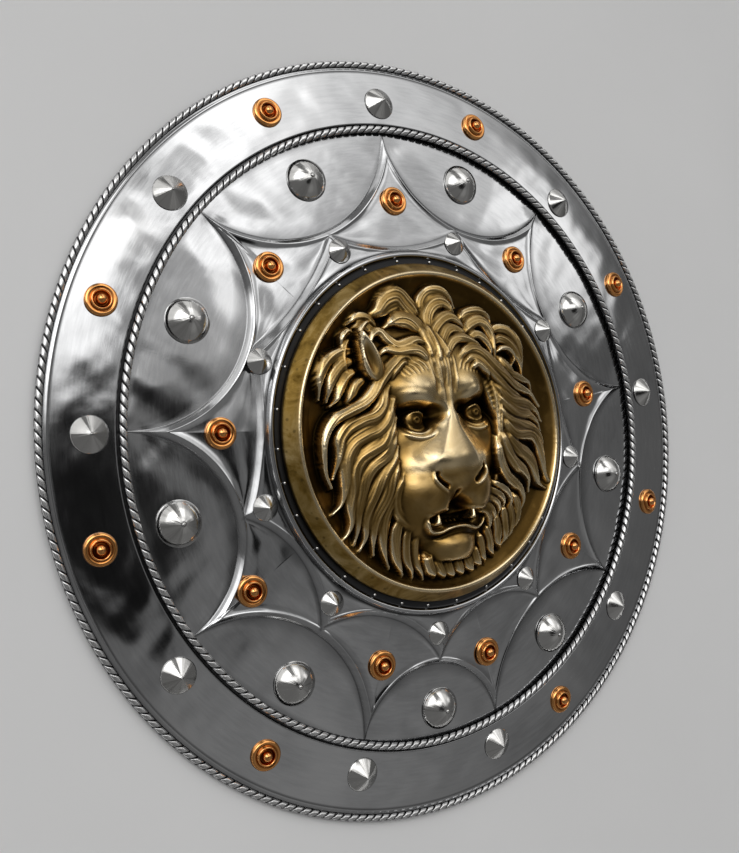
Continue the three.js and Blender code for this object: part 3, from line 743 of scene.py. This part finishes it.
def lion():
    floor = DISH_Z + 2.2 * smooth((GR - 92) / 20)
    # --- face, built from rounded masses
    f = hill(-4, 2, 50, 78, 56.5, 13)
    for m in (
        (-4, 43, 40, 24, 62.6, 6.5, 0),                                             # forehead
        (-27, 32, 20, 13.5, 66.6, 7.0, -8), (17.5, 33, 17, 13, 65.6, 7.0, 8),       # brow masses
        (-3.5, 24, 9.5, 13, 64.6, 5, 0),                                            # between the brows
        (-38, -14, 18, 25, 58.8, 8, 0), (36, -12, 16, 26, 56.8, 8, 0),              # cheeks
        (-31, -4.5, 12, 6.5, 61.8, 4, -8), (29.5, -1.5, 11, 6, 59.5, 4, 8),          # below the eyes
        (-4, -73, 32, 14, 57.5, 8, 0),                                              # jaw
    ):
        f = smax(f, hill(*m[:6], turn=m[6]), 4.0)
    # bridge of the nose: broad and rounded, widening downwards and rolling over at the tip
    t = np.clip((18 - GY) / 45.0, -0.4, 1.0)
    cx, hw = -2.0 - 5.0 * t, 9.5 + 16.0 * np.clip(t, 0, 1) ** 1.2
    top = 65.0 + 9.8 * smooth(t)
    side = np.clip(np.abs((GX - cx) / hw), 0, 3)
    wedge = top - 4.2 * side ** 2.3
    wedge = wedge - 0.9 * np.clip(GY - 16, 0, 60) ** 1.05 - 0.026 * np.clip(-17 - GY, 0, 60) ** 2
    f = smax(f, wedge, 5.0)
    f = smax(f, hill(-7, -24.5, 22, 15, 74.6, 9, 0, 2.0), 5.0)
    f = blur(f, 3.0)
    # leather of the nose, muzzle pads and chin
    f = smax(f, hill(-3.5, -36.5, 20, 11.5, 72.4, 8, 0, 2.2), 3.0)
    f = smax(f, hill(-26.5, -45.5, 22.5, 25.0, 70.8, 10, 14, 2.2), 5.0)
    f = smax(f, hill(15.5, -45.5, 18.5, 22.0, 69.4, 11, -12, 2.2), 5.0)
    f = smax(f, hill(-2, -87.5, 18.5, 14.5, 63.0, 10, 0, 2.2), 4.0)
    f = blur(f, 2.0)
    # sockets, eyes and lids
    f = f - 12.5 * pit(-30, 11.0, 14.5, 8.0, -6, 1.3) - 11.5 * pit(28, 13, 13.5, 7.6, 8, 1.3)
    f = f - 5.5 * pit(-14.5, 13, 8, 6.0) - 5.0 * pit(10.5, 16, 7.5, 5.5)
    eye_l = 58.2 - ((GX + 30) ** 2 + (GY - 9.0) ** 2) / 13.0
    eye_r = 57.0 - ((GX - 28) ** 2 + (GY - 11.5) ** 2) / 13.0
    f = np.where((np.hypot((GX + 30) / 9, (GY - 9.0) / 6.8) < 1), np.maximum(f, eye_l), f)
    f = np.where((np.hypot((GX - 28) / 8.5, (GY - 11.5) / 6.6) < 1), np.maximum(f, eye_r), f)
    for ex, ey, k in ((-30, 9.0, 1.0), (28, 11.5, 0.94)):
        ring = np.abs(np.hypot(GX - ex, GY - ey) - 3.6 * k)
        f = f - 1.0 * np.exp(-(ring / 0.8) ** 2) - 1.3 * pit(ex, ey, 1.4, 1.4)
        for rr, hh, ww, a0, a1 in ((8.0, 3.4, 1.8, 196, 350), (11.2, 2.4, 1.8, 203, 340), (14.8, 2.0, 2.2, 212, 325)):
            arc = [(ex + 1.12 * rr * k * math.cos(math.radians(a)), ey + 0.92 * rr * k * math.sin(math.radians(a))) for a in np.linspace(a0, a1, 7)]
            ridge(f, arc, ww, hh, 0.3)
    ridge(f, [(-42.5, 9), (-38, 14.2), (-31, 16.6), (-24, 14.6), (-17, 8)], 2.6, 3.2, 0.3)
    ridge(f, [(15, 11), (21.5, 16.2), (28, 18.6), (34.5, 17.6), (39, 12.5)], 2.6, 3.0, 0.3)
    # heavy frowning brows
    ridge(f, [(-47, 21), (-39, 24), (-29, 22.5), (-20, 18), (-12, 11.5)], 9.0, 1.9, 0.2)
    ridge(f, [(6, 13), (13, 19.5), (21, 24), (30, 26), (39, 23.5)], 8.5, 1.8, 0.2)
    # furrow and short hairs that rise from between the brows into the parting
    for pts in ([(-3.5, 14), (-3.4, 30), (-4, 48)], [(4.5, 26), (4.8, 38), (4.5, 52)], [(-11.5, 26), (-11.2, 38), (-12, 52)]):
        ridge(f, pts, 3.0, -1.0)
    for i in range(9):
        x0 = -16 + 3.0 * i
        ridge(f, [(x0 * 0.8 + 1.2 * math.sin(i), 33 + 3 * math.sin(2 * i)), (x0 * 0.95, 43), (x0 * 1.1 - 1, 57)], 1.15, 0.65)
    for i in range(6):
        ridge(f, [(-18 - 4.0 * i, 44 - 0.6 * i), (-21 - 4.2 * i, 50 - 0.8 * i), (-27 - 4.0 * i, 55 - 1.6 * i)], 1.2, 0.8)
        ridge(f, [(11 + 3.6 * i, 44 - 0.6 * i), (14 + 3.9 * i, 50 - 0.8 * i), (19 + 3.9 * i, 55 - 1.6 * i)], 1.2, 0.8)
    # creases beside the nose
    ridge(f, [(-12, 10), (-20, -2), (-29, -15), (-37, -27)], 9.0, -1.3)
    ridge(f, [(8.5, 12), (13, -1), (19, -14), (25, -25)], 9.0, -1.3)
    # nostrils: a comma each, and the crease between the wing of the nose and the pad
    ridge(f, [(-23.5, -30.5), (-24.2, -34.5), (-20.5, -39), (-14, -43.5)], 2.4, -5.2, 0.15)
    ridge(f, [(-26.8, -30.5), (-27.6, -36.5), (-22.8, -42.2), (-14.5, -47.2)], 1.8, 2.2)
    ridge(f, [(24.0, -27.5), (23.6, -32), (17.5, -36.5), (10.5, -41)], 2.4, -5.0, 0.15)
    ridge(f, [(27.2, -28.5), (26.4, -34.5), (19.6, -39.2), (10.5, -44.2)], 1.8, 2.0)
    ridge(f, [(-4.2, -46), (-4.6, -53), (-5, -61)], 2.6, -5.5, 0.05)
    # open mouth, upper lip edge, teeth and the rolled lower lip
    hole = pit(-3.5, -66.6, 23, 5.0, -2, 1.7)
    hole = np.maximum(hole, pit(-1.5, -60.5, 9.5, 7.5, 0, 1.4))
    f = f * (1 - hole) + np.minimum(f, 46.5) * hole
    ridge(f, [(-36, -62), (-28, -63.6), (-17, -62.0), (-9, -56.6)], 2.0, 1.7)
    ridge(f, [(0, -55.4), (7, -59.8), (15, -62.0), (25, -61)], 2.0, 1.6)
    ridge(f, [(-33, -63), (-32.5, -70), (-27.5, -75.6), (-20, -77), (-12, -74.6), (-4, -73.2), (4, -73.6), (11, -75.6), (18, -77.2), (25, -74), (28, -68), (27, -62)], 2.5, 5.0, 0.10)
    ridge(f, [(-29, -79.5), (-20, -81.4), (-10, -79), (0, -78.2), (10, -80), (19, -81), (25, -78.5)], 1.6, -1.4)
    for x, y, r, h in ((-23.5, -65.5, 3.4, 65.0), (10.5, -63.8, 3.3, 64.0)):        # canines, wide at the gum
        t = np.clip((GY - (y - 5.5)) / 12.0, 0, 1)
        side = np.abs(GX - x - 1.0 * t) / (r * (1.02 - 0.92 * t))
        ok = (side < 1) & (GY > y - 5.5) & (GY < y + 6.5)
        f = np.where(ok, np.maximum(f, h - 3.0 * side ** 2 - 3.0 * t ** 2), f)
    for x in (-15.0, -11.0, -7.0, -3.0, 1.0):                                        # low front teeth
        d = np.hypot((GX - x) / 1.9, (GY + 70.2) / 2.4)
        f = np.where(d < 1, np.maximum(f, 51.5 - 2.5 * d ** 2), f)
    # --- mane: a base mound, then the locks laid over it
    theta = np.arctan2(GY, GX)
    ground = mound(GX, GY) - 4.6 + 1.6 * smooth((64 - GR) / 12) + 0.22 * np.sin(74 * theta + 0.13 * GR + 2.0 * np.sin(5 * theta + 0.05 * GR))
    outside = smooth((np.hypot((GX + 2) / 47.0, (GY + 12) / 70.0) - 0.96) / 0.10)             # never under the face
    base = floor + (ground - floor) * smooth((103 - GR) / 14) * outside
    z = smax(f, base, 1.5)
    z = np.where(GR > 100, np.maximum(base, floor), z)
    z = np.maximum(z, floor)
    L = lambda pts, w, n, lift=0.0, **kw: lock(z, pts, w, n + (n > 1) + (w > 11), lift, **kw)
    # underlying outer locks first (order does not matter: the higher one shows)
    L([(-9, 90), (-5, 100), (3, 107), (14, 108), (23, 103), (29, 95)], 11, 3, -1)
    L([(28, 84), (38, 90), (49, 92), (59, 88), (65, 80)], 10, 3, -1)
    L([(-70, 70), (-74, 78), (-80, 74), (-83, 66)], 7, 2, 0)
    L([(57, 74), (68, 77.5), (79, 75), (87.5, 66), (91, 54), (93, 43)], 9, 3, 0)
    L([(58, 65), (67, 69), (77, 66), (84, 57), (88, 46), (91, 38)], 9, 3, 1)
    L([(55, 51), (64, 45), (74, 40), (85, 36), (94, 32), (100, 24)], 8, 3, 1)
    # crown, left of the parting
    L([(-13, 84), (-19, 95), (-27, 103), (-36, 100), (-46, 93), (-56, 89)], 20, 5, 0, tail=0.3)
    L([(-12, 74), (-18, 82), (-26, 85.5), (-35, 85), (-43, 80)], 15, 5, 1.5)
    L([(-12, 64), (-20, 69), (-30, 67.5), (-39, 66), (-45, 70), (-51, 77), (-57, 74), (-61, 66), (-62, 58)], 8.5, 3, 3)
    # crown, right of the parting
    L([(-8, 76), (-4, 87), (5, 97), (14, 99), (21, 93), (25, 85)], 14, 4, 1)
    L([(-6, 68), (-1, 78), (8, 85.5), (18, 87), (27, 80), (31, 74)], 11, 4, 2)
    L([(-4, 60), (2, 70), (11, 77), (21, 76.5), (31, 70)], 9, 3, 2.5)
    L([(0, 52), (6, 63), (15, 69), (26, 69), (37, 64), (44, 58)], 8.5, 3, 3)
    L([(27, 73), (36, 80), (46, 84), (54, 80), (57.5, 70), (56.5, 60), (57, 49)], 11, 3, 2)
    L([(30, 69), (40, 72.5), (48, 68), (51.5, 60), (50, 52)], 8, 3, 2)
    # parting tuft
    L([(-12, 53), (-12, 62), (-14, 72), (-14.5, 82)], 7, 3, 2.5, tail=0.6)
    L([(-5, 50), (-5.5, 60), (-8, 71), (-9.5, 84)], 8, 4, 3, tail=0.6)
    L([(2.5, 52), (1.5, 60), (-2, 69), (-5, 79)], 7, 3, 2.5, tail=0.6)
    # left ear
    L([(-65, 61), (-69, 69), (-66, 79), (-59, 85), (-53, 84)], 5.5, 1, 3, rise=4)
    L([(-57, 63), (-63, 64.5), (-69, 59), (-70.5, 50), (-66.5, 41)], 6, 1, 4, rise=4)
    L([(-56, 58), (-60, 52), (-62.5, 46), (-65, 40)], 6, 2, 1.5)
    L([(-72, 74), (-79, 68), (-82, 59), (-81, 49), (-77, 41)], 7, 2, 0.3)
    L([(-52, 73), (-57, 80), (-64, 83), (-72, 80)], 8, 3, 0.0)
    L([(-49, 80), (-57, 88), (-66, 89), (-74, 83)], 8, 3, -0.6)
    # right ear
    L([(60, 58), (66, 61), (74, 60), (79.5, 54), (78, 46)], 5.5, 1, 3, rise=4)
    L([(60, 55), (65, 49), (72, 43), (79, 40)], 8, 3, 1.5)
    # curls over the brows
    L([(-15, 51), (-22, 60), (-31, 62.5), (-41, 62), (-50, 62.5), (-57, 56)], 9.5, 3, 3.5)
    L([(-27, 50), (-33, 57), (-40, 56.5), (-47, 51), (-54, 44), (-60, 38), (-66, 31), (-74, 24), (-84, 19), (-94, 15), (-101, 8), (-105, -2), (-106, -14), (-105, -25), (-101, -35)], 9.5, 3, 3.2, tail=0.4)
    L([(-33, 50), (-37, 53), (-42, 50), (-47, 44), (-50, 38)], 6, 2, 2)
    L([(11, 49), (19, 58), (30, 61), (41, 56.5), (51, 48), (61, 39), (71, 31.5), (84, 26.5), (95, 22), (105, 12)], 9.5, 3, 3.2, tail=0.4)
    L([(17, 47), (26, 54), (35, 52), (43, 45), (52, 36), (62, 27.5), (74, 23), (86, 20)], 8.5, 3, 2.5)
    L([(24, 45), (31, 48.5), (38, 43), (43, 36)], 6, 2, 3)
    # upper left, combed outward
    L([(-70, 64.5), (-83, 62.5), (-94, 58), (-100.5, 50), (-103.5, 40), (-103.5, 29)], 9.5, 3, 1)
    L([(-72, 57), (-84, 54), (-92, 46), (-96, 37), (-98, 27)], 9, 3, 1.5)
    L([(-72, 49.5), (-81, 46), (-87, 38), (-91, 29), (-96, 23.5)], 8.5, 3, 1)
    L([(-67, 43), (-75, 39), (-80.5, 31), (-85, 23)], 8.5, 3, 0.5)
    # left side, long S locks
    L([(-51, 36), (-56.5, 29), (-60, 21), (-66, 14), (-76, 10.5), (-86, 7), (-92, 0), (-93.5, -10), (-96, -19), (-99, -29)], 12, 4, 2)
    L([(-49, 26), (-54, 17), (-58, 8.5), (-65, 3), (-74, 1), (-82, -3.5), (-87, -12), (-89.5, -24), (-91.5, -38), (-95, -48), (-102, -54)], 12, 4, 2)
    L([(-50.5, 13), (-55, 3.5), (-62, -5.5), (-71, -10.5), (-79, -17), (-84, -27), (-86, -40), (-87.5, -52), (-88, -62), (-92, -70), (-98, -74)], 12.5, 4, 2.2)
    L([(-51, 2), (-56, -8), (-63, -17), (-71, -24), (-77, -33), (-80.5, -45), (-82, -57), (-83, -68), (-86, -78)], 12, 4, 2)
    L([(-51, -9), (-56, -20), (-62, -30), (-68, -40), (-73, -51), (-76, -63), (-77, -74), (-82, -83)], 11.5, 4, 2)
    L([(-51, -20), (-55.5, -31), (-60, -43), (-65, -55), (-69, -66), (-71, -77), (-70, -88)], 10.5, 3, 2.2)
    L([(-51, -30), (-55, -42), (-59, -54), (-62, -66), (-63, -78), (-61.5, -90), (-57, -99)], 9.5, 3, 2)
    L([(-47.5, -30), (-53, -43), (-53, -56), (-47.5, -65), (-39.5, -70.5), (-30, -73.5)], 8, 4, 3, tail=0.5, deep=1.0)
    L([(-49, -61), (-53, -74), (-53.5, -86), (-51, -97), (-46, -106)], 9.5, 3, 2.5)
    L([(-41, -68), (-44, -80), (-43.5, -92), (-40, -102), (-37, -109.5)], 8.5, 3, 2)
    L([(-34, -74), (-36, -85), (-35, -96), (-30.5, -106), (-27, -111.5)], 8, 3, 1.5)
    # beard under the chin
    for pts in ([(-26, -93), (-24, -103), (-18, -111.5)], [(-17, -96), (-14.5, -105), (-9, -113)], [(-8, -97), (-6, -106), (-1, -113.5)], [(1, -97), (3.5, -106), (8, -113)], [(10, -96), (13, -105), (18, -112)], [(18, -92), (20.5, -101), (26, -109)]):
        L(pts, 9, 3, 4.0, head=0.9, deep=1.2)
    # beard, right
    L([(24, -82), (27.5, -91), (29, -100), (33, -107.5)], 8, 3, 2)
    L([(31, -76), (35.5, -88), (38, -98), (43, -103)], 8.5, 3, 2.2)
    L([(41, -69), (44.5, -81), (45, -91), (50, -98)], 9, 3, 2)
    L([(50, -63), (52.5, -75), (53.5, -87), (50, -96)], 8.5, 3, 2)
    L([(57, -60), (60.5, -71), (60.5, -82), (57, -92)], 8.5, 3, 1.5)
    L([(64, -55), (68.5, -65), (67.5, -76), (63.5, -86)], 8.5, 3, 1.0)
    # fringe beside the mouth, right
    for pts in ([(33, -43.5), (42, -48), (51, -53), (57, -60), (58, -68)], [(26, -48.5), (36, -51.8), (45.5, -57.5), (51, -66)], [(20.5, -53.5), (31, -55.8), (40.5, -61.5), (45.5, -71)], [(18, -58.5), (28, -60.6), (36, -67.5), (40, -77)], [(18.5, -63.2), (27, -65.6), (32, -72.5), (34, -82)]):
        L(pts, 5.4, 2, 4.2, deep=1.2, head=0.8)
    # right side
    L([(45, -9), (44.5, -20), (47, -31.5), (53.5, -41), (63, -47), (72, -52.5), (76, -62), (73, -73)], 9.5, 3, 2)
    L([(48.5, -3), (52, -15.5), (57.5, -26), (66, -33), (76, -38.5), (83, -46.5), (85, -57)], 11, 4, 2)
    L([(53, -4), (59.5, -13.5), (69, -20.5), (80, -25.5), (88, -33), (92, -43), (95, -50.5), (104, -55.5)], 12, 4, 2.2)
    L([(49.5, 7), (57, -2), (67, -7.3), (79, -9.3), (90, -11.5), (97, -18), (100, -29), (102, -40), (108, -50)], 11, 3, 2.6, tail=0.35)
    L([(48, 18), (54, 8), (63, 2), (75, -1.2), (87, -3.3), (97, -8.5), (102.5, -18), (104, -29)], 9.5, 3, 2)
    L([(48, 26), (55, 17), (65, 11), (77, 8), (88, 6), (98, 0), (105, -8.5)], 9.5, 3, 2)
    L([(47, 35), (55, 26.5), (65, 19.5), (77, 16.3), (89, 14), (99, 8), (107, -1)], 10, 3, 2)
    L([(43, 48), (47.5, 36), (49.5, 22), (50, 9), (48.5, -4), (46, -16), (46, -28)], 8.5, 3, -0.6)
    # --- outer profile of the casting
    rp = [0, 106, 112.5, 118.5, 120.9, 121.5, 124.2, 131.5, 140]
    zp = [0, 36.2, 37.4, 40.2, 41.9, 42.0, 42.0, 33.2, 33.2]
    rimz = np.interp(GR, rp, zp) + 1.65 * np.sqrt(np.clip(1 - ((GR - CREST_R) / 1.95) ** 2, 0, 1))
    # left ear: a pointed leaf with a hollow, standing out of the hair
    ce, se = math.cos(math.radians(-16)), math.sin(math.radians(-16))
    ex, ey = (GX + 65.5) * ce - (GY - 59) * se, (GX + 65.5) * se + (GY - 59) * ce
    leaf = np.hypot(ex / (7.4 * np.clip(1.0 - 0.50 * ey / 19, 0.25, 1.5)), ey / 19.5)
    ear = 60.6 - 3.0 * leaf ** 3 - 4.6 * np.exp(-(np.hypot((ex + 1.2) / 3.8, (ey + 1) / 12.5)) ** 3)
    z = np.where(leaf < 1, np.maximum(z, ear), z)
    z = np.where(GR > 104, np.maximum(z * (GR < 121) + rimz * (GR >= 121), rimz), z)
    return z, rimz


def medallion():
    z, rimz = lion()
    z = blur(z, 0.42)
    fine, broad = z - blur(z, 1.1), z - blur(z, 4.5)
    cav = np.clip(0.50 + 0.34 * fine + 0.060 * broad, 0, 1)
    deep = smooth((mound(GX, GY) - 4.5 - z) / 8) * smooth((106 - GR) / 6)
    face = smooth((62 - np.hypot(GX + 2, (GY + 12) * 0.72)) / 14)
    # painted highlight: the higher parts of the upper face are painted lighter; painted shade: the lower muzzle is
    # painted darker
    cav = cav + face * (0.30 * smooth((z - 57) / 9) * (1 - 0.85 * smooth((-27 - GY) / 8)) - 0.10 * smooth((-38 - GY) / 10))
    # painted shade: the eye sockets are painted dark
    cav = cav - 0.36 * pit(-30, 10.5, 11.5, 8.0, -6, 1.3) - 0.34 * pit(28, 13, 11.0, 7.6, 8, 1.3)      # the eyes stay dark
    cav = np.clip(cav, 0, 1) * (1 - 0.75 * deep)
    # painted shade: between r 96 and the crest the surface is darkened where it lies below the dish profile
    dish = smooth((z - rimz + 0.0) / 1.5)
    cav = np.where(GR > 96, cav * (0.62 + 0.38 * np.maximum(dish, smooth((GR - 119.5) / 1.5))), cav)

    def pick(a, x, y):
        u, v = (x + HALF) / STEP, (y + HALF) / STEP
        i, j = np.clip(u.astype(int), 0, len(AX) - 2), np.clip(v.astype(int), 0, len(AX) - 2)
        p, q = u - i, v - j
        return a[j, i] * (1 - p) * (1 - q) + a[j, i + 1] * p * (1 - q) + a[j + 1, i] * (1 - p) * q + a[j + 1, i + 1] * p * q

    K = 148
    rings, cs, rs = [(np.array([[0.0, 0.0, float(pick(z, np.zeros(1), np.zeros(1))[0])]]), np.array([0.0]))], [np.array([0.6])], [np.array([0.0])]
    radii = [(112.0 * k / K, 7 * k) for k in range(1, K + 1)]
    radii += [(r, 7 * K) for r in (113.2, 114.6, 116.2, 117.8, 119.2, 120.3, 120.9, 121.5, 122.05, 122.6, 123.15, 123.7, 124.3, 125.2, 126.8, 128.6, 130.2, 131.1)]
    for r, n in radii:
        a = np.arange(n) / n
        x, y = r * np.cos(2 * np.pi * a), r * np.sin(2 * np.pi * a)
        rings.append((np.stack([x, y, pick(z, x, y)], 1), a))
        # painted highlight: the crest bead is painted light
        cs.append(pick(cav, x, y) if r < 121 else np.full(n, 0.93 if r < 124 else 0.6))
        rs.append(np.full(n, float(smooth((r - 123.6) / 1.2))))
    # painted shade at the foot of the casting's edge, where it meets the flange
    for r, zz, n, q in ((131.5, 32.9, 7 * K, 0.4), (131.5, MED_Z, 7 * K, 0.05), (121.0, MED_Z, 96, 0.1), (117.5, MED_Z + 1.0, 96, 0.1), (60.0, MED_Z + 1.0, 48, 0.1)):
        a = np.arange(n) / n
        rings.append((np.stack([r * np.cos(2 * np.pi * a), r * np.sin(2 * np.pi * a), np.full(n, zz)], 1), a))
        cs.append(np.full(n, q))
        rs.append(np.full(n, 1.0 if zz > 32 else 0.0))
    rings.append((np.array([[0.0, 0.0, MED_Z + 1.0]]), np.array([0.0])))
    cs.append(np.array([0.1]))
    rs.append(np.array([0.0]))
    co, tri = ring_solid(rings)
    return piece("lion_boss", co, tri, BRASS, ["lion_medallion"], {"cav": np.concatenate(cs), "rim": np.concatenate(rs)})


shield_plate()
rope("rope_rim", RIM_R - 2.65, ROPE_R + 0.1, 2.65, 264, "rim_rope")
rope("rope_field", FROPE_R, FROPE_Z - 0.1, 2.9, 216, "field_rope")
studs()
pins()
medallion()

# ------------------------------------------------------------------ floor, light and camera
bpy.ops.mesh.primitive_plane_add(size=14.0, location=(0, 0, -0.0002))
ground = bpy.context.object
ground.name = "studio_floor"
gm, gnt, gb = new_mat("pale_floor")
gn = noise(gnt, obj_coord(gnt), 3.0, 4.0)
gnt.links.new(ramp(gnt, gn, [(0.3, (0.80, 0.80, 0.802)), (0.7, (0.84, 0.84, 0.842))]), gb.inputs["Base Color"])
gb.inputs["Roughness"].default_value = 0.75
gb.inputs["Specular IOR Level"].default_value = 0.25
ground.data.materials.append(gm)


def studio_world():
    w = bpy.data.worlds.new("soft_studio")
    bpy.context.scene.world = w
    w.use_nodes = True
    nt = w.node_tree
    bg = next(n for n in nt.nodes if n.type == "BACKGROUND")
    d = nd(nt, "ShaderNodeTexCoord").outputs["Generated"]
    sep = nd(nt, "ShaderNodeSeparateXYZ")
    nt.links.new(d, sep.inputs[0])

    def lobe(axis, inner, outer, value):
        v = Vector(axis).normalized()
        dot = nd(nt, "ShaderNodeVectorMath", operation="DOT_PRODUCT")
        nt.links.new(d, dot.inputs[0])
        dot.inputs[1].default_value = v
        mr = nd(nt, "ShaderNodeMapRange", interpolation_type="SMOOTHSTEP")
        nt.links.new(dot.outputs["Value"], mr.inputs["Value"])
        mr.inputs["From Min"].default_value = math.cos(math.radians(outer))
        mr.inputs["From Max"].default_value = math.cos(math.radians(inner))
        mr.inputs["To Min"].default_value = 0.0
        mr.inputs["To Max"].default_value = value
        return mr.outputs[0]

    def rise(sock, lo, hi, a, b):
        mr = nd(nt, "ShaderNodeMapRange", interpolation_type="SMOOTHSTEP")
        nt.links.new(sock, mr.inputs["Value"])
        for key, val in (("From Min", lo), ("From Max", hi), ("To Min", a), ("To Max", b)):
            mr.inputs[key].default_value = val
        return mr.outputs[0]

    # the head end is one broad bright scrim that fades towards the far side; the foot end is grey
    across = nd(nt, "ShaderNodeMapRange")
    nt.links.new(sep.outputs[0], across.inputs["Value"])
    across.inputs["From Min"].default_value = -1.0
    fade = ramp(nt, across.outputs[0], [(0.0, 1.0), (0.66, 1.0), (0.71, 0.60), (0.78, 0.44), (0.85, 0.36), (0.90, 0.20), (0.94, 0.08), (0.97, 0.0)])
    bright = math_node(nt, "MULTIPLY", fade, rise(sep.outputs[1], 0.07, 0.28, 0.0, 1.62))
    bright = math_node(nt, "MULTIPLY", bright, rise(sep.outputs[2], 0.38, 0.56, 0.42, 1.0))     # dimmer near the ground
    # a gap between two scrims, seen as a dark wedge in every round stud
    gap = nd(nt, "ShaderNodeVectorMath", operation="DOT_PRODUCT")
    nt.links.new(d, gap.inputs[0])
    gap.inputs[1].default_value = (-0.996, -0.087, 0.0)
    slit = math_node(nt, "MULTIPLY", rise(math_node(nt, "ABSOLUTE", gap.outputs["Value"]), 0.13, 0.20, 0.95, 0.0), rise(sep.outputs[2], 0.84, 0.91, 1.0, 0.0))
    bright = math_node(nt, "MULTIPLY", bright, math_node(nt, "SUBTRACT", 1.0, slit))
    for axis, a, b, v in (((0.23, 0.25, 0.94), 3, 9, 0.80), ((0.19, 0.47, 0.86), 2, 6, 0.60), ((0.55, 0.30, 0.78), 2, 9, 0.40)):     # darker patches in the scrim
        bright = math_node(nt, "MULTIPLY", bright, math_node(nt, "SUBTRACT", 1.0, lobe(axis, a, b, v)))
    low = rise(sep.outputs[0], -0.30, 0.40, 0.14, 0.17)
    low = math_node(nt, "SUBTRACT", low, rise(sep.outputs[0], 0.60, 0.90, 0.0, 0.06))
    total = math_node(nt, "ADD", bright, low)
    for axis, a, b, v in (
        ((0.79, 0.26, 0.56), 3, 9, 0.80),         # small strip on the far side
        ((0.30, -0.52, 0.80), 4, 20, 0.06),
    ):
        total = math_node(nt, "ADD", total, lobe(axis, a, b, v))
    dark = lobe((0.03, -0.07, 0.997), 9, 15, 0.95)
    total = math_node(nt, "MULTIPLY", total, math_node(nt, "SUBTRACT", 1.0, dark))
    nt.links.new(total, bg.inputs["Strength"])
    bg.inputs["Color"].default_value = (1.0, 0.995, 0.985, 1.0)


studio_world()


def area(name, loc, target, size, power, color=(1, 1, 1)):
    li = bpy.data.lights.new(name, "AREA")
    li.shape = "RECTANGLE"
    li.size, li.size_y = size
    li.energy = power
    li.color = color
    ob = bpy.data.objects.new(name, li)
    bpy.context.scene.collection.objects.link(ob)
    ob.location = loc
    ob.rotation_euler = (Vector(target) - Vector(loc)).to_track_quat("-Z", "Y").to_euler()
    return ob


area("soft_key", (-1.5, 1.3, 1.9), (0, 0, 0), (1.2, 1.2), 9.0)

cam = bpy.data.cameras.new("camera")
cam.sensor_width = 36.0
cam.lens = 46.42
cam.clip_start, cam.clip_end = 0.01, 60.0
co = bpy.data.objects.new("camera", cam)
bpy.context.scene.collection.objects.link(co)
X, Y, Z = (0.832158, -0.096884, 0.546009), (0.070439, 0.995112, 0.069219), (-0.550046, -0.019141, 0.834915)
co.matrix_world = Matrix(((X[0], Y[0], Z[0], -0.51121), (X[1], Y[1], Z[1], -0.00827), (X[2], Y[2], Z[2], 0.72261), (0, 0, 0, 1)))
bpy.context.scene.camera = co
bpy.context.scene.view_settings.view_transform = "Standard"
